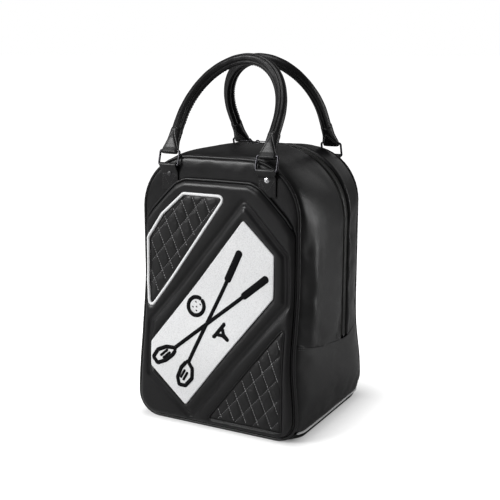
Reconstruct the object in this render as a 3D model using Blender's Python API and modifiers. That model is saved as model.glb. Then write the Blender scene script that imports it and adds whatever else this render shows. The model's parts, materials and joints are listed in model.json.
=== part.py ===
"""Golf shoe bag: a tall leather-look tote whose back opens on a U-shaped zip.

Frame: +Z up, -Y is the front (the side with the badge), +X is the bag's right as seen from the
front. The origin is on the floor, under the middle of the bag's bounding box. Units are metres.
"""

import math

import bmesh
import bpy
from mathutils import Matrix, Vector

# Body
HALF_WIDTH = 0.1162  # half width of the front and back panels above the belly
WIDTH_FLARE = 0.0055  # extra half width near the base
HALF_DEPTH = 0.0960  # from the body's middle plane to either panel, above the belly
FRONT_BELLY = 0.0135  # how far the front panel swells forward near the base
BACK_BELLY = 0.0085  # the same at the back
MID_Y = 0.0060  # the body's middle plane, which centres the bounding box on the origin
TOP_Z = 0.3620  # top edge of the front and back panels
FOOT_Z = 0.0006  # bottom edge of the front and back panels
TOP_RADIUS = 0.074  # top corners of the panels
FOOT_RADIUS = 0.032  # bottom corners of the panels
FOLD_RADIUS = 0.012  # fold between the side and the base, away from the panels
FOLD_RUN = 0.030  # distance from a panel over which the fold takes the panel's radius
SIDE_CROWN = 0.0085  # how far the gusset stands out sideways between its seams
TOP_CROWN = 0.0050  # the same upwards, along the top
CORNER_DROOP = 0.0260  # how much larger the top corners' radius is midway between the panels
SKIN = 0.0030  # thickness of the padded leather
GAP = 0.0004  # space between neighbouring pieces

# Trim
PIPING_RADIUS = 0.0022
EDGE = 2 * PIPING_RADIUS + GAP  # margin that the piping takes from panels and gussets
WHITE_PIPING_RADIUS = 0.0014
WHITE_PIPING_Z = 0.0132
PANEL_INSET = EDGE  # from the body's outline to the edge of a panel
BOARD_INSET = 0.0105
BOARD = 0.0018  # thickness of the stiffener boards
BASE_BOARD_HALF_WIDTH = 0.0920
BASE_BOARD_MARGIN = 0.0120  # from the front and back panels to the base board
LINING = 0.0008
LINING_START = 0.0095  # from the front panel's face to the side lining's front edge
LINING_HEIGHTS = (0.0, 0.003, 0.008, 0.016, 0.03, 0.06, 0.12, 0.20)

# Zip
ZIP_Y = MID_Y + 0.030  # parting line of the zip
TAPE_REACH = 0.0110  # from the parting line to the gusset's folded edge
TOOTH_REACH = 0.0026
TOOTH_CLEARANCE = 0.0003  # from the parting line to either row of teeth
TAPE = 0.0008
TAPE_SINK = 0.0016  # the tape's outer face lies this far below the gusset
TOOTH_DEPTH = 0.0030
ZIP_STOP = 0.0030  # height of the stops at the zip's two ends

# Side guards and the fold that the lid opens about
GUARD_LOW = 0.1075  # height of the guard's upper edge where it is lowest
GUARD_LOW_Y = MID_Y + 0.035
GUARD_FRONT_RISE = 0.0216
GUARD_BACK_RISE = 0.0140
FOLD_Z = 0.1220  # height of the lid's fold line in the back panel

# Badge, overlay and quilted insets on the front panel, as (x, z) outlines
OVERLAY = 0.0052
OVERLAY_INSET = 0.0064
OVERLAY_TOP = 0.3285
OVERLAY_SHOULDER = 0.056  # half width of the overlay's top edge
OVERLAY_SIDE_Z = 0.270  # where its slanting shoulder meets the side
OVERLAY_ROLL = 0.0016  # radius of the roll along the overlay's upper edge
ROLL_RISE = 0.0030  # from the overlay's upper edge to the roll's centre
INSET_SHEET = 0.0012
CURVE_LEVELS = (0.08, 0.11, 0.14, 0.17, 0.21)  # heights at which a sheet bends with the front
BADGE = [(0.0393, 0.2842), (0.0834, 0.2426), (0.0832, 0.1872), (-0.0419, 0.0273), (-0.0962, 0.0751),
         (-0.0965, 0.1086)]
UPPER_QUILT = [(-0.0481, 0.3104), (0.0103, 0.3104), (-0.1007, 0.1557), (-0.1045, 0.1913),
               (-0.1034, 0.2493), (-0.0809, 0.2815)]
LOWER_QUILT = [(0.1000, 0.1510), (0.1000, 0.0150), (-0.0069, 0.0150)]
QUILT_PIPING_RADIUS = 0.0015
QUILT_PIPING_OUT = 0.0042  # from the quilt's corners to the piping's, away from its middle

# Handles
HANDLE_X = 0.0715  # from the middle to each leg
GRIP_RADIUS = 0.0075
GRIP_WALL = 0.0014
HANDLE_LEAN = math.radians(35)
LEG = 0.047  # straight leg, from the ring's upper bar
ARCH_RISE = 0.0952  # from the end of the leg to the arch's crown
FOOT_TOP = 0.0300
FOOT_WIDTH = 0.0240
FOOT_SECTIONS = (  # height above the ring, width, depth and squareness of the handle's foot
    (-0.0036, FOOT_WIDTH, 0.0060, 4.0),
    (0.0030, FOOT_WIDTH, 0.0066, 4.0),
    (0.0100, 0.0215, 0.0088, 3.0),
    (0.0190, 0.0170, 0.0130, 2.2),
    (FOOT_TOP, 0.0158, 0.0158, 2.0),
)
ARCH_STEPS = 22
RING_RADIUS = 0.0015
RING_HALF_WIDTH = 0.0148
RING_CORNER = 0.0030
BAR_CLEARANCE = 0.0004
LOOP_OUT = 0.0055  # from the panel's face to the ring's lower bar
LOOP_Z = 0.3480
UPPER_BAR_OUT = 0.0005
UPPER_BAR_Z = 0.3665
TAB_WIDTH = 0.0250
TAB = 0.0020
TAB_END_Z = 0.3000
TAB_LOOP_RADIUS = 0.0032
TAB_CUT_RISE = 0.0075  # from the overlay's top edge to the end of a front tab
RIVET_RADIUS = 0.0036
RIVET_HEIGHT = 0.0015
RIVET_Z = 0.3365

# Sliders and pulls
MEETING_X = -0.0140  # where the two sliders meet on the top
SLIDER_LENGTH = 0.0100
SLIDER_PLATE = 0.0016
SLIDER_FRONT = 0.0050  # from the parting line to the slider's front edge
SLIDER_SKIRT = 0.0011  # how far the slider's skirt reaches down beside the teeth
EAR = 0.0009  # thickness of each ear that holds the pin
EAR_HALF_WIDTH = 0.0016
EAR_TOP = 0.0014  # above the pin's axis
PIN_RADIUS = 0.0007
PIN_LIFT = 0.0042  # the pull's pivot above the teeth
PULL_LENGTH = 0.0170
PULL_WIDTH = 0.0046
PULL = 0.0012
PULL_EYE_RADIUS = 0.0017
PULL_EYE_WIDTH = 0.0020
PULL_NECK = (0.0005, 0.0080)  # the neck's two ends, from the pivot
PULL_TAG_START = 0.0070
OVERLAP = 0.0001  # by which joined shapes are offset, so that their faces don't coincide

TUBE_RESOLUTION = 2
CORNER_STEPS = 6
FRONT_SHARES = (0.0, 0.07, 0.22, 0.5, 0.78, 1.0)  # rows of the gusset, front seam to zip
BACK_SHARES = (0.0, 0.4, 0.75, 1.0)  # rows of the gusset, zip to back seam

INTERIOR = Vector((0.0, MID_Y, 0.18))  # a point inside the bag, which every skin faces away from


# Scene, collections and materials

def clear_scene():
    for item in list(bpy.data.objects):
        bpy.data.objects.remove(item, do_unlink=True)


def new_collection(name):
    collection = bpy.data.collections.new(name)
    bpy.context.scene.collection.children.link(collection)
    return collection


def new_material(name, colour, roughness, metallic=0.0):
    material = bpy.data.materials.new(name)
    material.use_nodes = True
    shader = material.node_tree.nodes["Principled BSDF"]
    shader.inputs["Base Color"].default_value = (*colour, 1.0)
    shader.inputs["Roughness"].default_value = roughness
    shader.inputs["Metallic"].default_value = metallic
    material.diffuse_color = (*colour, 1.0)
    return material


clear_scene()
PARTS = new_collection("golf_shoe_bag")
CUTTERS = new_collection("cutters")
LEATHER = new_material("black_leather", (0.022, 0.021, 0.023), 0.45)
WHITE_LEATHER = new_material("white_leather", (0.80, 0.80, 0.81), 0.45)
WHITE_PIPING = new_material("white_piping", (0.85, 0.85, 0.86), 0.40)
QUILT = new_material("quilted_leather", (0.026, 0.025, 0.027), 0.50)
BASE = new_material("base_leather", (0.018, 0.018, 0.019), 0.60)
ZIP_TAPE = new_material("zip_tape", (0.015, 0.015, 0.015), 0.85)
ZIP_TEETH = new_material("zip_teeth", (0.020, 0.020, 0.021), 0.40)
BLACK_METAL = new_material("black_metal", (0.050, 0.050, 0.055), 0.30, 1.0)
BRIGHT_METAL = new_material("bright_metal", (0.70, 0.70, 0.72), 0.22, 1.0)
LINING_CLOTH = new_material("lining_cloth", (0.045, 0.045, 0.050), 0.90)
BOARD_STOCK = new_material("stiffener_board", (0.10, 0.10, 0.10), 0.80)
FOAM = new_material("foam_core", (0.30, 0.30, 0.30), 0.95)


# Groups: one empty for each rigid body, on its joint's axis

def new_group(name, location=(0.0, 0.0, 0.0)):
    group = bpy.data.objects.new(name, None)
    group.empty_display_size = 0.01
    group.location = location
    PARTS.objects.link(group)
    return group


def put_under(item, group):
    """Parents an object to a group and leaves it where it is."""
    item.parent = group
    item.matrix_parent_inverse = Matrix.Translation(-Vector(group.location))
    return item


def finish(item, material, group):
    item.data.materials.clear()
    item.data.materials.append(material)
    return put_under(item, group)


# The body's form

def ease(t):
    t = min(max(t, 0.0), 1.0)
    return t * t * (3.0 - 2.0 * t)


def side_x(z):
    return HALF_WIDTH + WIDTH_FLARE * (1.0 - ease((z - 0.03) / 0.09))


def front_y(z):
    return MID_Y - HALF_DEPTH - FRONT_BELLY * (1.0 - ease((z - 0.08) / 0.13))


def back_y(z):
    return MID_Y + HALF_DEPTH + BACK_BELLY * (1.0 - ease((z - 0.05) / 0.10))


def crown(y, z, sideways, upwards):
    """How far the gusset stands out from the panels' outline at depth y."""
    share = 2.0 * (y - front_y(z)) / (back_y(z) - front_y(z)) - 1.0
    swell = max(0.0, 1.0 - abs(share) ** 3) * ease(z / 0.06)
    return swell * (SIDE_CROWN * abs(sideways) + TOP_CROWN * max(upwards, 0.0))


def corner_radius(y):
    """The radius of a top corner at depth y: it droops rounder between the two panels."""
    share = (y - MID_Y) / HALF_DEPTH
    return TOP_RADIUS + CORNER_DROOP * max(0.0, 1.0 - share ** 2)


def fold_radius(y, z):
    near = min(y - front_y(z), back_y(z) - y)
    return FOLD_RADIUS + (FOOT_RADIUS - FOLD_RADIUS) * (1.0 - ease(near / FOLD_RUN))


def guard_top(y):
    if y < GUARD_LOW_Y:
        run = (GUARD_LOW_Y - y) / (GUARD_LOW_Y - MID_Y + HALF_DEPTH)
        return GUARD_LOW + GUARD_FRONT_RISE * run ** 1.5
    run = (y - GUARD_LOW_Y) / (MID_Y + HALF_DEPTH - GUARD_LOW_Y)
    return GUARD_LOW + GUARD_BACK_RISE * run ** 1.5


def wall_point(side, z, y, inset):
    """A point of the side wall, on the left (side -1) or the right (side 1)."""
    radius = fold_radius(y, z)
    if z < radius:
        down = (radius - z) / radius
        out = math.sqrt(max(0.0, 1.0 - down * down))
    else:
        down = 0.0
        out = 1.0
    swell = crown(y, z, out, 0.0) - inset
    x = side_x(z) - radius + radius * out + out * swell
    return Vector((side * x, y, z - down * swell))


def arch_point(side, angle, y, inset):
    """A point of the gusset round a top corner; the angle is 0 at the side, 90 degrees on top."""
    out = math.cos(angle)
    up = math.sin(angle)
    radius = corner_radius(y)
    z = TOP_Z - radius + radius * up
    swell = crown(y, z, out, up) - inset
    x = HALF_WIDTH - radius + radius * out + out * swell
    return Vector((side * x, y, z + up * swell))


def arch_row(depth, low, inset, sides=4):
    """One row of the gusset at a depth, up one side, over the top and down the other.

    depth(z) gives y at a height and low is the height of the row's two ends."""
    right = []
    radius = corner_radius(depth(TOP_Z))
    corner_z = TOP_Z - radius
    for step in range(sides):
        z = low + (corner_z - low) * step / sides
        right.append((1, z, None))
    for step in range(CORNER_STEPS + 1):
        angle = math.radians(90) * step / CORNER_STEPS
        right.append((1, corner_z + radius * math.sin(angle), angle))
    row = []
    for side in (1, -1):
        points = right if side == 1 else reversed(right)
        for _, z, angle in points:
            y = depth(z)
            if angle is None:
                row.append(wall_point(side, z, y, inset))
            else:
                row.append(arch_point(side, angle, y, inset))
    return row


def panel_edge(inset, low=None, high=None):
    """Half of a panel's outline as (x, z), from the bottom up to the top."""
    foot = FOOT_RADIUS - inset
    shoulder = TOP_RADIUS - inset
    foot_z = FOOT_Z + FOOT_RADIUS
    shoulder_z = TOP_Z - TOP_RADIUS
    edge = []
    for step in range(CORNER_STEPS):
        angle = math.radians(-90 + 90 * step / CORNER_STEPS)
        z = foot_z + foot * math.sin(angle)
        edge.append((side_x(z) - FOOT_RADIUS + foot * math.cos(angle), z))
    for step in range(9):
        z = foot_z + (shoulder_z - foot_z) * step / 9
        edge.append((side_x(z) - inset, z))
    for step in range(CORNER_STEPS + 1):
        angle = math.radians(90 * step / CORNER_STEPS)
        z = shoulder_z + shoulder * math.sin(angle)
        edge.append((HALF_WIDTH - TOP_RADIUS + shoulder * math.cos(angle), z))
    if low is not None:
        edge = [(side_x(low) - inset, low)] + [point for point in edge if point[1] > low + 0.002]
    if high is not None:
        edge = [point for point in edge if point[1] < high - 0.002] + [(side_x(high) - inset, high)]
    return edge


# Makers of solids

def new_object(name, mesh):
    item = bpy.data.objects.new(name, mesh)
    PARTS.objects.link(item)
    return item


def mesh_object(name, shape):
    mesh = bpy.data.meshes.new(name)
    shape.to_mesh(mesh)
    shape.free()
    mesh.shade_smooth()
    mesh.set_sharp_from_angle(angle=math.radians(35))
    return new_object(name, mesh)


def skin(name, rows, thickness, material, group):
    """A sheet through rows of points, with its outer face on them and its thickness inside."""
    shape = bmesh.new()
    grid = [[shape.verts.new(point) for point in row] for row in rows]
    outward = 0.0
    for lower, upper in zip(grid, grid[1:]):
        for column in range(len(lower) - 1):
            face = shape.faces.new((lower[column], lower[column + 1], upper[column + 1],
                                    upper[column]))
            face.normal_update()
            outward += face.normal.dot(face.calc_center_median() - INTERIOR) * face.calc_area()
    if outward < 0.0:
        bmesh.ops.reverse_faces(shape, faces=shape.faces)
    item = mesh_object(name, shape)
    solidify = item.modifiers.new("thickness", "SOLIDIFY")
    solidify.thickness = thickness
    solidify.offset = -1.0
    solidify.use_even_offset = True
    return finish(item, material, group)


def plate(name, edge, surface, lift, thickness, material, group):
    """A panel symmetrical about X = 0: edge is (half width, z), surface(z) its depth."""
    rows = []
    for x, z in edge:
        y = surface(z) + lift
        rows.append([(-x, y, z), (x, y, z)])
    return skin(name, rows, thickness, material, group)


def outline_rows(outline, lift, extra=()):
    """Rows across a convex (x, z) outline, laid on the front panel."""
    heights = sorted({z for _, z in outline} | set(extra))
    low, high = min(z for _, z in outline), max(z for _, z in outline)
    rows = []
    for height in heights:
        z = min(max(height, low + 0.0006), high - 0.0006)
        crossings = []
        for (x0, z0), (x1, z1) in zip(outline, outline[1:] + outline[:1]):
            if min(z0, z1) <= z <= max(z0, z1) and z0 != z1:
                crossings.append(x0 + (x1 - x0) * (z - z0) / (z1 - z0))
        y = front_y(z) - lift
        rows.append([(min(crossings), y, z), (max(crossings), y, z)])
    return rows


def tube(name, points, radius, material, group, cyclic=False, caps=True):
    curve = bpy.data.curves.new(name, "CURVE")
    curve.dimensions = "3D"
    curve.bevel_depth = radius
    curve.bevel_resolution = TUBE_RESOLUTION
    curve.use_fill_caps = caps and not cyclic
    spline = curve.splines.new("POLY")
    spline.points.add(len(points) - 1)
    for target, point in zip(spline.points, points):
        target.co = (*point, 1.0)
    spline.use_cyclic_u = cyclic
    item = new_object(name, curve)
    return finish(item, material, group)


def as_mesh(item, material, group):
    """Turns a curve object into a mesh object with welded caps."""
    bpy.context.view_layer.update()
    evaluated = item.evaluated_get(bpy.context.evaluated_depsgraph_get())
    mesh = bpy.data.meshes.new_from_object(evaluated)
    matrix = item.matrix_world.copy()
    name = item.name
    bpy.data.objects.remove(item, do_unlink=True)
    shape = bmesh.new()
    shape.from_mesh(mesh)
    bpy.data.meshes.remove(mesh)
    shape.transform(matrix)
    bmesh.ops.remove_doubles(shape, verts=shape.verts, dist=0.00001)
    return finish(mesh_object(name, shape), material, group)


def box(name, low, high):
    shape = bmesh.new()
    bmesh.ops.create_cube(shape, size=1.0)
    size = Vector(high) - Vector(low)
    centre = (Vector(high) + Vector(low)) / 2
    bmesh.ops.scale(shape, vec=size, verts=shape.verts)
    bmesh.ops.translate(shape, vec=centre, verts=shape.verts)
    return mesh_object(name, shape)


def rod(name, centre, axis, radius, length, segments=16):
    """A cylinder along a world axis."""
    shape = bmesh.new()
    turn = Vector((0, 0, 1)).rotation_difference(Vector(axis)).to_matrix().to_4x4()
    bmesh.ops.create_cone(shape, cap_ends=True, segments=segments, radius1=radius, radius2=radius,
                          depth=length, matrix=Matrix.Translation(centre) @ turn)
    return mesh_object(name, shape)


def combine(item, tool, operation):
    """Adds a Boolean whose tool is kept as a hidden cutter."""
    PARTS.objects.unlink(tool)
    CUTTERS.objects.link(tool)
    tool.hide_render = True
    tool.display_type = "WIRE"
    boolean = item.modifiers.new(operation.lower(), "BOOLEAN")
    boolean.operation = operation
    boolean.object = tool
    return item


def loft(name, sections):
    """A closed solid through loops of points, capped at both ends."""
    shape = bmesh.new()
    loops = []
    for section in sections:
        verts = [shape.verts.new(point) for point in section]
        loops.append([shape.edges.new((a, b)) for a, b in zip(verts, verts[1:] + verts[:1])])
    for lower, upper in zip(loops, loops[1:]):
        bmesh.ops.bridge_loops(shape, edges=lower + upper)
    for end in (loops[0], loops[-1]):
        bmesh.ops.contextual_create(shape, geom=end)
    bmesh.ops.recalc_face_normals(shape, faces=shape.faces)
    return mesh_object(name, shape)


# Front of the tub

def make_front(tub):
    panel = panel_edge(PANEL_INSET)
    plate("front_panel", panel, front_y, 0.0, SKIN, LEATHER, tub)
    board = panel_edge(BOARD_INSET)
    plate("front_board", board, front_y, SKIN + GAP, BOARD, BOARD_STOCK, tub)
    plate("lining_front", board, front_y, SKIN + BOARD + 2 * GAP, LINING, LINING_CLOTH, tub)

    overlay = panel_edge(OVERLAY_INSET, high=OVERLAY_SIDE_Z)
    overlay.append((OVERLAY_SHOULDER, OVERLAY_TOP))
    proud = GAP + OVERLAY
    plate("front_overlay", overlay, front_y, -proud, OVERLAY, LEATHER, tub)

    lift = proud + GAP + INSET_SHEET
    sheets = (("badge_panel", BADGE, WHITE_LEATHER), ("quilted_inset_upper", UPPER_QUILT, QUILT),
              ("quilted_inset_lower", LOWER_QUILT, QUILT))
    for name, outline, material in sheets:
        low = min(z for _, z in outline)
        extra = [level for level in CURVE_LEVELS if level > low]
        skin(name, outline_rows(outline, lift, extra), INSET_SHEET, material, tub)

    quilt_edge = []
    middle = sum((Vector(point) for point in UPPER_QUILT), Vector((0.0, 0.0))) / len(UPPER_QUILT)
    for x, z in UPPER_QUILT:
        away = (Vector((x, z)) - middle).normalized() * QUILT_PIPING_OUT
        y = front_y(z + away.y) - proud - GAP - QUILT_PIPING_RADIUS
        quilt_edge.append((x + away.x, y, z + away.y))
    tube("inset_piping", quilt_edge, QUILT_PIPING_RADIUS, WHITE_PIPING, tub, cyclic=True)

    side = side_x(OVERLAY_SIDE_Z) - OVERLAY_INSET
    corner = Vector((side - OVERLAY_SHOULDER, OVERLAY_SIDE_Z - OVERLAY_TOP)).normalized()
    outward = Vector((-corner.y, corner.x)) * ROLL_RISE
    top = (OVERLAY_SHOULDER + outward.x / 2, OVERLAY_TOP + ROLL_RISE)
    half = [(side + outward.x, OVERLAY_SIDE_Z + outward.y), top]
    edge = [(-x, z) for x, z in half] + [(x, z) for x, z in reversed(half)]
    route = [(x, front_y(z) - GAP - OVERLAY_ROLL, z) for x, z in edge]
    tube("overlay_piping", route, OVERLAY_ROLL, LEATHER, tub)


def piping_route(surface, inward, edge, over_top=True):
    """A tube's route along both halves of a panel's outline, over its top or under its foot."""
    right = [(x, surface(z) + inward * PIPING_RADIUS, z) for x, z in edge]
    left = [(-x, y, z) for x, y, z in reversed(right)]
    return right + left if over_top else left + right


def make_panel_piping(tub, lid):
    edge = panel_edge(PIPING_RADIUS)
    tube("front_piping", piping_route(front_y, 1, edge), PIPING_RADIUS, LEATHER, tub, cyclic=True)
    upper = panel_edge(PIPING_RADIUS, low=FOLD_Z + GAP)
    tube("back_piping", piping_route(back_y, -1, upper), PIPING_RADIUS, LEATHER, lid)
    lower = panel_edge(PIPING_RADIUS, high=FOLD_Z - GAP)
    route = piping_route(back_y, -1, lower, over_top=False)
    tube("back_lower_piping", route, PIPING_RADIUS, LEATHER, tub)


# Gussets, guards and base

def share_depth(share, start, end):
    return lambda z: start(z) + (end(z) - start(z)) * share


def front_seam(z):
    return front_y(z) + EDGE


def back_seam(z):
    return back_y(z) - EDGE


def at(y):
    return lambda z: y


def front_rows():
    return [share_depth(share, front_seam, at(ZIP_Y - TAPE_REACH)) for share in FRONT_SHARES]


def back_rows():
    return [share_depth(share, at(ZIP_Y + TAPE_REACH), back_seam) for share in BACK_SHARES]


def zip_foot():
    """Height just above the guards where the zip ends."""
    return max(guard_top(ZIP_Y - TAPE_REACH), guard_top(ZIP_Y + TAPE_REACH)) + GAP


def gusset_band(name, depths, group):
    rows = [arch_row(depth, guard_top(depth(GUARD_LOW)) + GAP, 0.0) for depth in depths]
    return skin(name, rows, SKIN, LEATHER, group)


def zip_band(name, near, far, foot, inset, thickness, material, group):
    """A narrow band of the zip between two distances behind its parting line."""
    rows = [arch_row(at(ZIP_Y + reach), foot, inset) for reach in (near, far)]
    return skin(name, rows, thickness, material, group)


def make_gussets(tub, lid):
    gusset_band("front_gusset", front_rows(), tub)
    gusset_band("back_gusset", back_rows(), lid)
    tape = (TOOTH_REACH + GAP, TAPE_REACH - GAP)
    teeth = (TOOTH_CLEARANCE, TOOTH_REACH)
    for facing, place, group in ((-1, "front", tub), (1, "back", lid)):
        near, far = [facing * reach for reach in tape]
        zip_band("zip_tape_" + place, near, far, zip_foot(), TAPE_SINK, TAPE, ZIP_TAPE, group)
        near, far = [facing * reach for reach in teeth]
        foot = zip_foot() + ZIP_STOP + GAP
        zip_band("zip_teeth_" + place, near, far, foot, 0.0, TOOTH_DEPTH, ZIP_TEETH, group)
    for side, name in ((-1, "zip_stop_left"), (1, "zip_stop_right")):
        z = zip_foot()
        outer = wall_point(side, z, ZIP_Y, 0.0).x
        ends = sorted((outer, outer - side * TOOTH_DEPTH))
        low = (ends[0], ZIP_Y - TOOTH_REACH, z)
        high = (ends[1], ZIP_Y + TOOTH_REACH, z + ZIP_STOP)
        finish(box(name, low, high), BLACK_METAL, tub)


def make_lining(tub):
    """The cloth round the inside of the front compartment, as one band open at front and back."""
    inset = SKIN + BOARD + 3 * GAP
    rows = []
    for share in (0.0, 0.3, 0.7, 1.0):
        row = []
        depth = share_depth(share, lambda z: front_y(z) + LINING_START, at(ZIP_Y - TAPE_REACH))
        radius = corner_radius(depth(TOP_Z))
        corner_z = TOP_Z - radius
        for height in LINING_HEIGHTS:
            z = height * corner_z / (TOP_Z - TOP_RADIUS)
            row.append(wall_point(1, z, depth(z), inset))
        for step in range(CORNER_STEPS + 1):
            angle = math.radians(90) * step / CORNER_STEPS
            z = corner_z + radius * math.sin(angle)
            row.append(arch_point(1, angle, depth(z), inset))
        mirrored = [Vector((-point.x, point.y, point.z)) for point in reversed(row)]
        rows.append(row + mirrored + [row[0]])
    item = skin("lining_gusset", rows, LINING, LINING_CLOTH, tub)
    weld = item.modifiers.new("weld", "WELD")
    weld.merge_threshold = 0.00005
    item.modifiers.move(1, 0)


def make_lower_body(tub):
    depths = front_rows() + back_rows()
    bottom = WHITE_PIPING_Z + WHITE_PIPING_RADIUS + GAP
    for side, name in ((-1, "side_guard_left"), (1, "side_guard_right")):
        rows = []
        for depth in depths:
            top = guard_top(depth(GUARD_LOW))
            row = []
            for step in range(8):
                z = bottom + (top - bottom) * (step / 7) ** 1.3
                row.append(wall_point(side, z, depth(z), 0.0))
            rows.append(row)
        skin(name, rows, SKIN, LEATHER, tub)

    rim = WHITE_PIPING_Z - WHITE_PIPING_RADIUS - GAP
    heights = [rim * (1 - math.sin(math.radians(90) * step / 5)) for step in range(6)]
    rows = []
    for depth in depths:
        right = [wall_point(1, z, depth(z), 0.0) for z in heights]
        left = [Vector((-point.x, point.y, point.z)) for point in reversed(right)]
        rows.append(right + left)
    skin("base_tray", rows, SKIN, BASE, tub)

    for side, name in ((-1, "base_piping_left"), (1, "base_piping_right")):
        route = []
        for step in range(13):
            depth = share_depth(0.012 + 0.976 * step / 12, front_seam, back_seam)
            route.append(wall_point(side, WHITE_PIPING_Z, depth(WHITE_PIPING_Z), -0.0002))
        tube(name, route, WHITE_PIPING_RADIUS, WHITE_PIPING, tub)

    low = (-BASE_BOARD_HALF_WIDTH, front_y(0.0) + BASE_BOARD_MARGIN, SKIN + GAP)
    high = (BASE_BOARD_HALF_WIDTH, back_y(0.0) - BASE_BOARD_MARGIN, SKIN + GAP + BOARD)
    finish(box("base_board", low, high), BOARD_STOCK, tub)


# Back of the bag: a fixed lower panel, and the lid above the fold

def make_back(tub, lid):
    lower = panel_edge(PANEL_INSET, high=FOLD_Z - GAP)
    plate("back_lower_panel", lower, back_y, 0.0, SKIN, LEATHER, tub)
    upper = panel_edge(PANEL_INSET, low=FOLD_Z + GAP)
    plate("back_panel", upper, back_y, 0.0, SKIN, LEATHER, lid)
    board = panel_edge(BOARD_INSET, low=FOLD_Z + 0.006)
    plate("back_board", board, back_y, -SKIN - GAP, BOARD, BOARD_STOCK, lid)
    plate("lid_lining", board, back_y, -SKIN - BOARD - 2 * GAP, LINING, LINING_CLOTH, lid)


# Handles: facing is -1 for the front pair and 1 for the back pair

def panel_face(facing):
    return MID_Y + facing * HALF_DEPTH


def loop_centre(facing):
    return Vector((0.0, panel_face(facing) + facing * LOOP_OUT, LOOP_Z))


def upper_bar(facing):
    return Vector((0.0, panel_face(facing) + facing * UPPER_BAR_OUT, UPPER_BAR_Z))


def make_tab(side, facing, name, group):
    centre = loop_centre(facing)
    x = side * HANDLE_X
    near = panel_face(facing) + facing * GAP
    far = near + facing * TAB
    low = (x - TAB_WIDTH / 2, min(near, far), TAB_END_Z)
    high = (x + TAB_WIDTH / 2, max(near, far), LOOP_Z)
    tab = box(name, low, high)
    if facing < 0:
        run = side_x(OVERLAY_SIDE_Z) - OVERLAY_SHOULDER
        slope = math.atan2(OVERLAY_TOP - OVERLAY_SIDE_Z, run)
        corner = Vector((side * OVERLAY_SHOULDER, near, OVERLAY_TOP + TAB_CUT_RISE))
        wedge = box(name + "_end", (-0.06, -0.01, -0.06), (0.06, 0.01, 0.0))
        turn = Matrix.Rotation(side * slope, 4, "Y")
        wedge.data.transform(Matrix.Translation(corner) @ turn)
        combine(tab, wedge, "DIFFERENCE")
    loop = rod(name + "_loop", Vector((x, centre.y, centre.z)), (1, 0, 0), TAB_LOOP_RADIUS,
               TAB_WIDTH)
    combine(tab, loop, "UNION")
    bore = rod(name + "_bore", Vector((x, centre.y, centre.z)), (1, 0, 0),
               RING_RADIUS + BAR_CLEARANCE, 0.04)
    combine(tab, bore, "DIFFERENCE")
    return finish(tab, LEATHER, group)


def make_rivet(side, facing, name, material, group):
    face = panel_face(facing) + facing * (2 * GAP + TAB)
    centre = Vector((side * HANDLE_X, face + facing * RIVET_HEIGHT / 2, RIVET_Z))
    head = rod(name, centre, (0, 1, 0), RIVET_RADIUS, RIVET_HEIGHT, segments=20)
    bevel = head.modifiers.new("rounding", "BEVEL")
    bevel.width = 0.0005
    bevel.segments = 2
    return finish(head, material, group)


def make_ring(side, facing, name, group):
    low = loop_centre(facing)
    rise = upper_bar(facing) - low
    up = rise.normalized()
    route = []
    corners = ((1, 0, 0), (1, 1, 90), (-1, 1, 180), (-1, 0, 270))
    for across, level, start in corners:
        centre_x = across * (RING_HALF_WIDTH - RING_CORNER)
        inset = RING_CORNER if level == 0 else rise.length - RING_CORNER
        for step in range(4):
            angle = math.radians(start - 90 + 30 * step)
            x = side * HANDLE_X + centre_x + RING_CORNER * math.cos(angle)
            route.append(low + up * (inset + RING_CORNER * math.sin(angle)) + Vector((x, 0, 0)))
    return tube(name, route, RING_RADIUS, BLACK_METAL, group, cyclic=True)


def foot_section(centre, along, across, width, depth, power, count=16):
    """A squarish oval round a point of the handle's leg."""
    through = along.cross(across)
    section = []
    for step in range(count):
        angle = 2 * math.pi * step / count
        u = abs(math.cos(angle)) ** (2 / power) * math.copysign(width / 2, math.cos(angle))
        v = abs(math.sin(angle)) ** (2 / power) * math.copysign(depth / 2, math.sin(angle))
        section.append(centre + across * u + through * v)
    return section


def make_handle(facing, prefix, group):
    bar = upper_bar(facing)
    along = Vector((0.0, -facing * math.sin(HANDLE_LEAN), math.cos(HANDLE_LEAN)))
    across = Vector((1.0, 0.0, 0.0))

    def leg_point(side, rise):
        return bar + along * rise + across * (side * HANDLE_X)

    route = [leg_point(-1, FOOT_TOP + GAP)]
    for step in range(ARCH_STEPS + 1):
        angle = math.pi * step / ARCH_STEPS
        crown_point = bar + along * (LEG + ARCH_RISE * math.sin(angle))
        route.append(crown_point - across * (HANDLE_X * math.cos(angle)))
    route.append(leg_point(1, FOOT_TOP + GAP))
    cover = tube(prefix + "_grip", route, GRIP_RADIUS, LEATHER, group, caps=False)
    cover = as_mesh(cover, LEATHER, group)
    wall = cover.modifiers.new("wall", "SOLIDIFY")
    wall.thickness = GRIP_WALL
    wall.offset = -1.0
    tube(prefix + "_core", route, GRIP_RADIUS - GRIP_WALL - GAP, FOAM, group)

    for side, name in ((-1, "_foot_left"), (1, "_foot_right")):
        sections = [foot_section(leg_point(side, rise), along, across, width, depth, power)
                    for rise, width, depth, power in FOOT_SECTIONS]
        foot = loft(prefix + name, sections)
        bore = rod(prefix + name + "_bore", leg_point(side, 0.0), (1, 0, 0),
                   RING_RADIUS + BAR_CLEARANCE, 0.04)
        combine(foot, bore, "DIFFERENCE")
        finish(foot, LEATHER, group)


# Sliders on the top stretch of the zip

def zip_level():
    """Height of the teeth's outer face along the top."""
    return TOP_Z + crown(ZIP_Y, TOP_Z, 0.0, 1.0)


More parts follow.
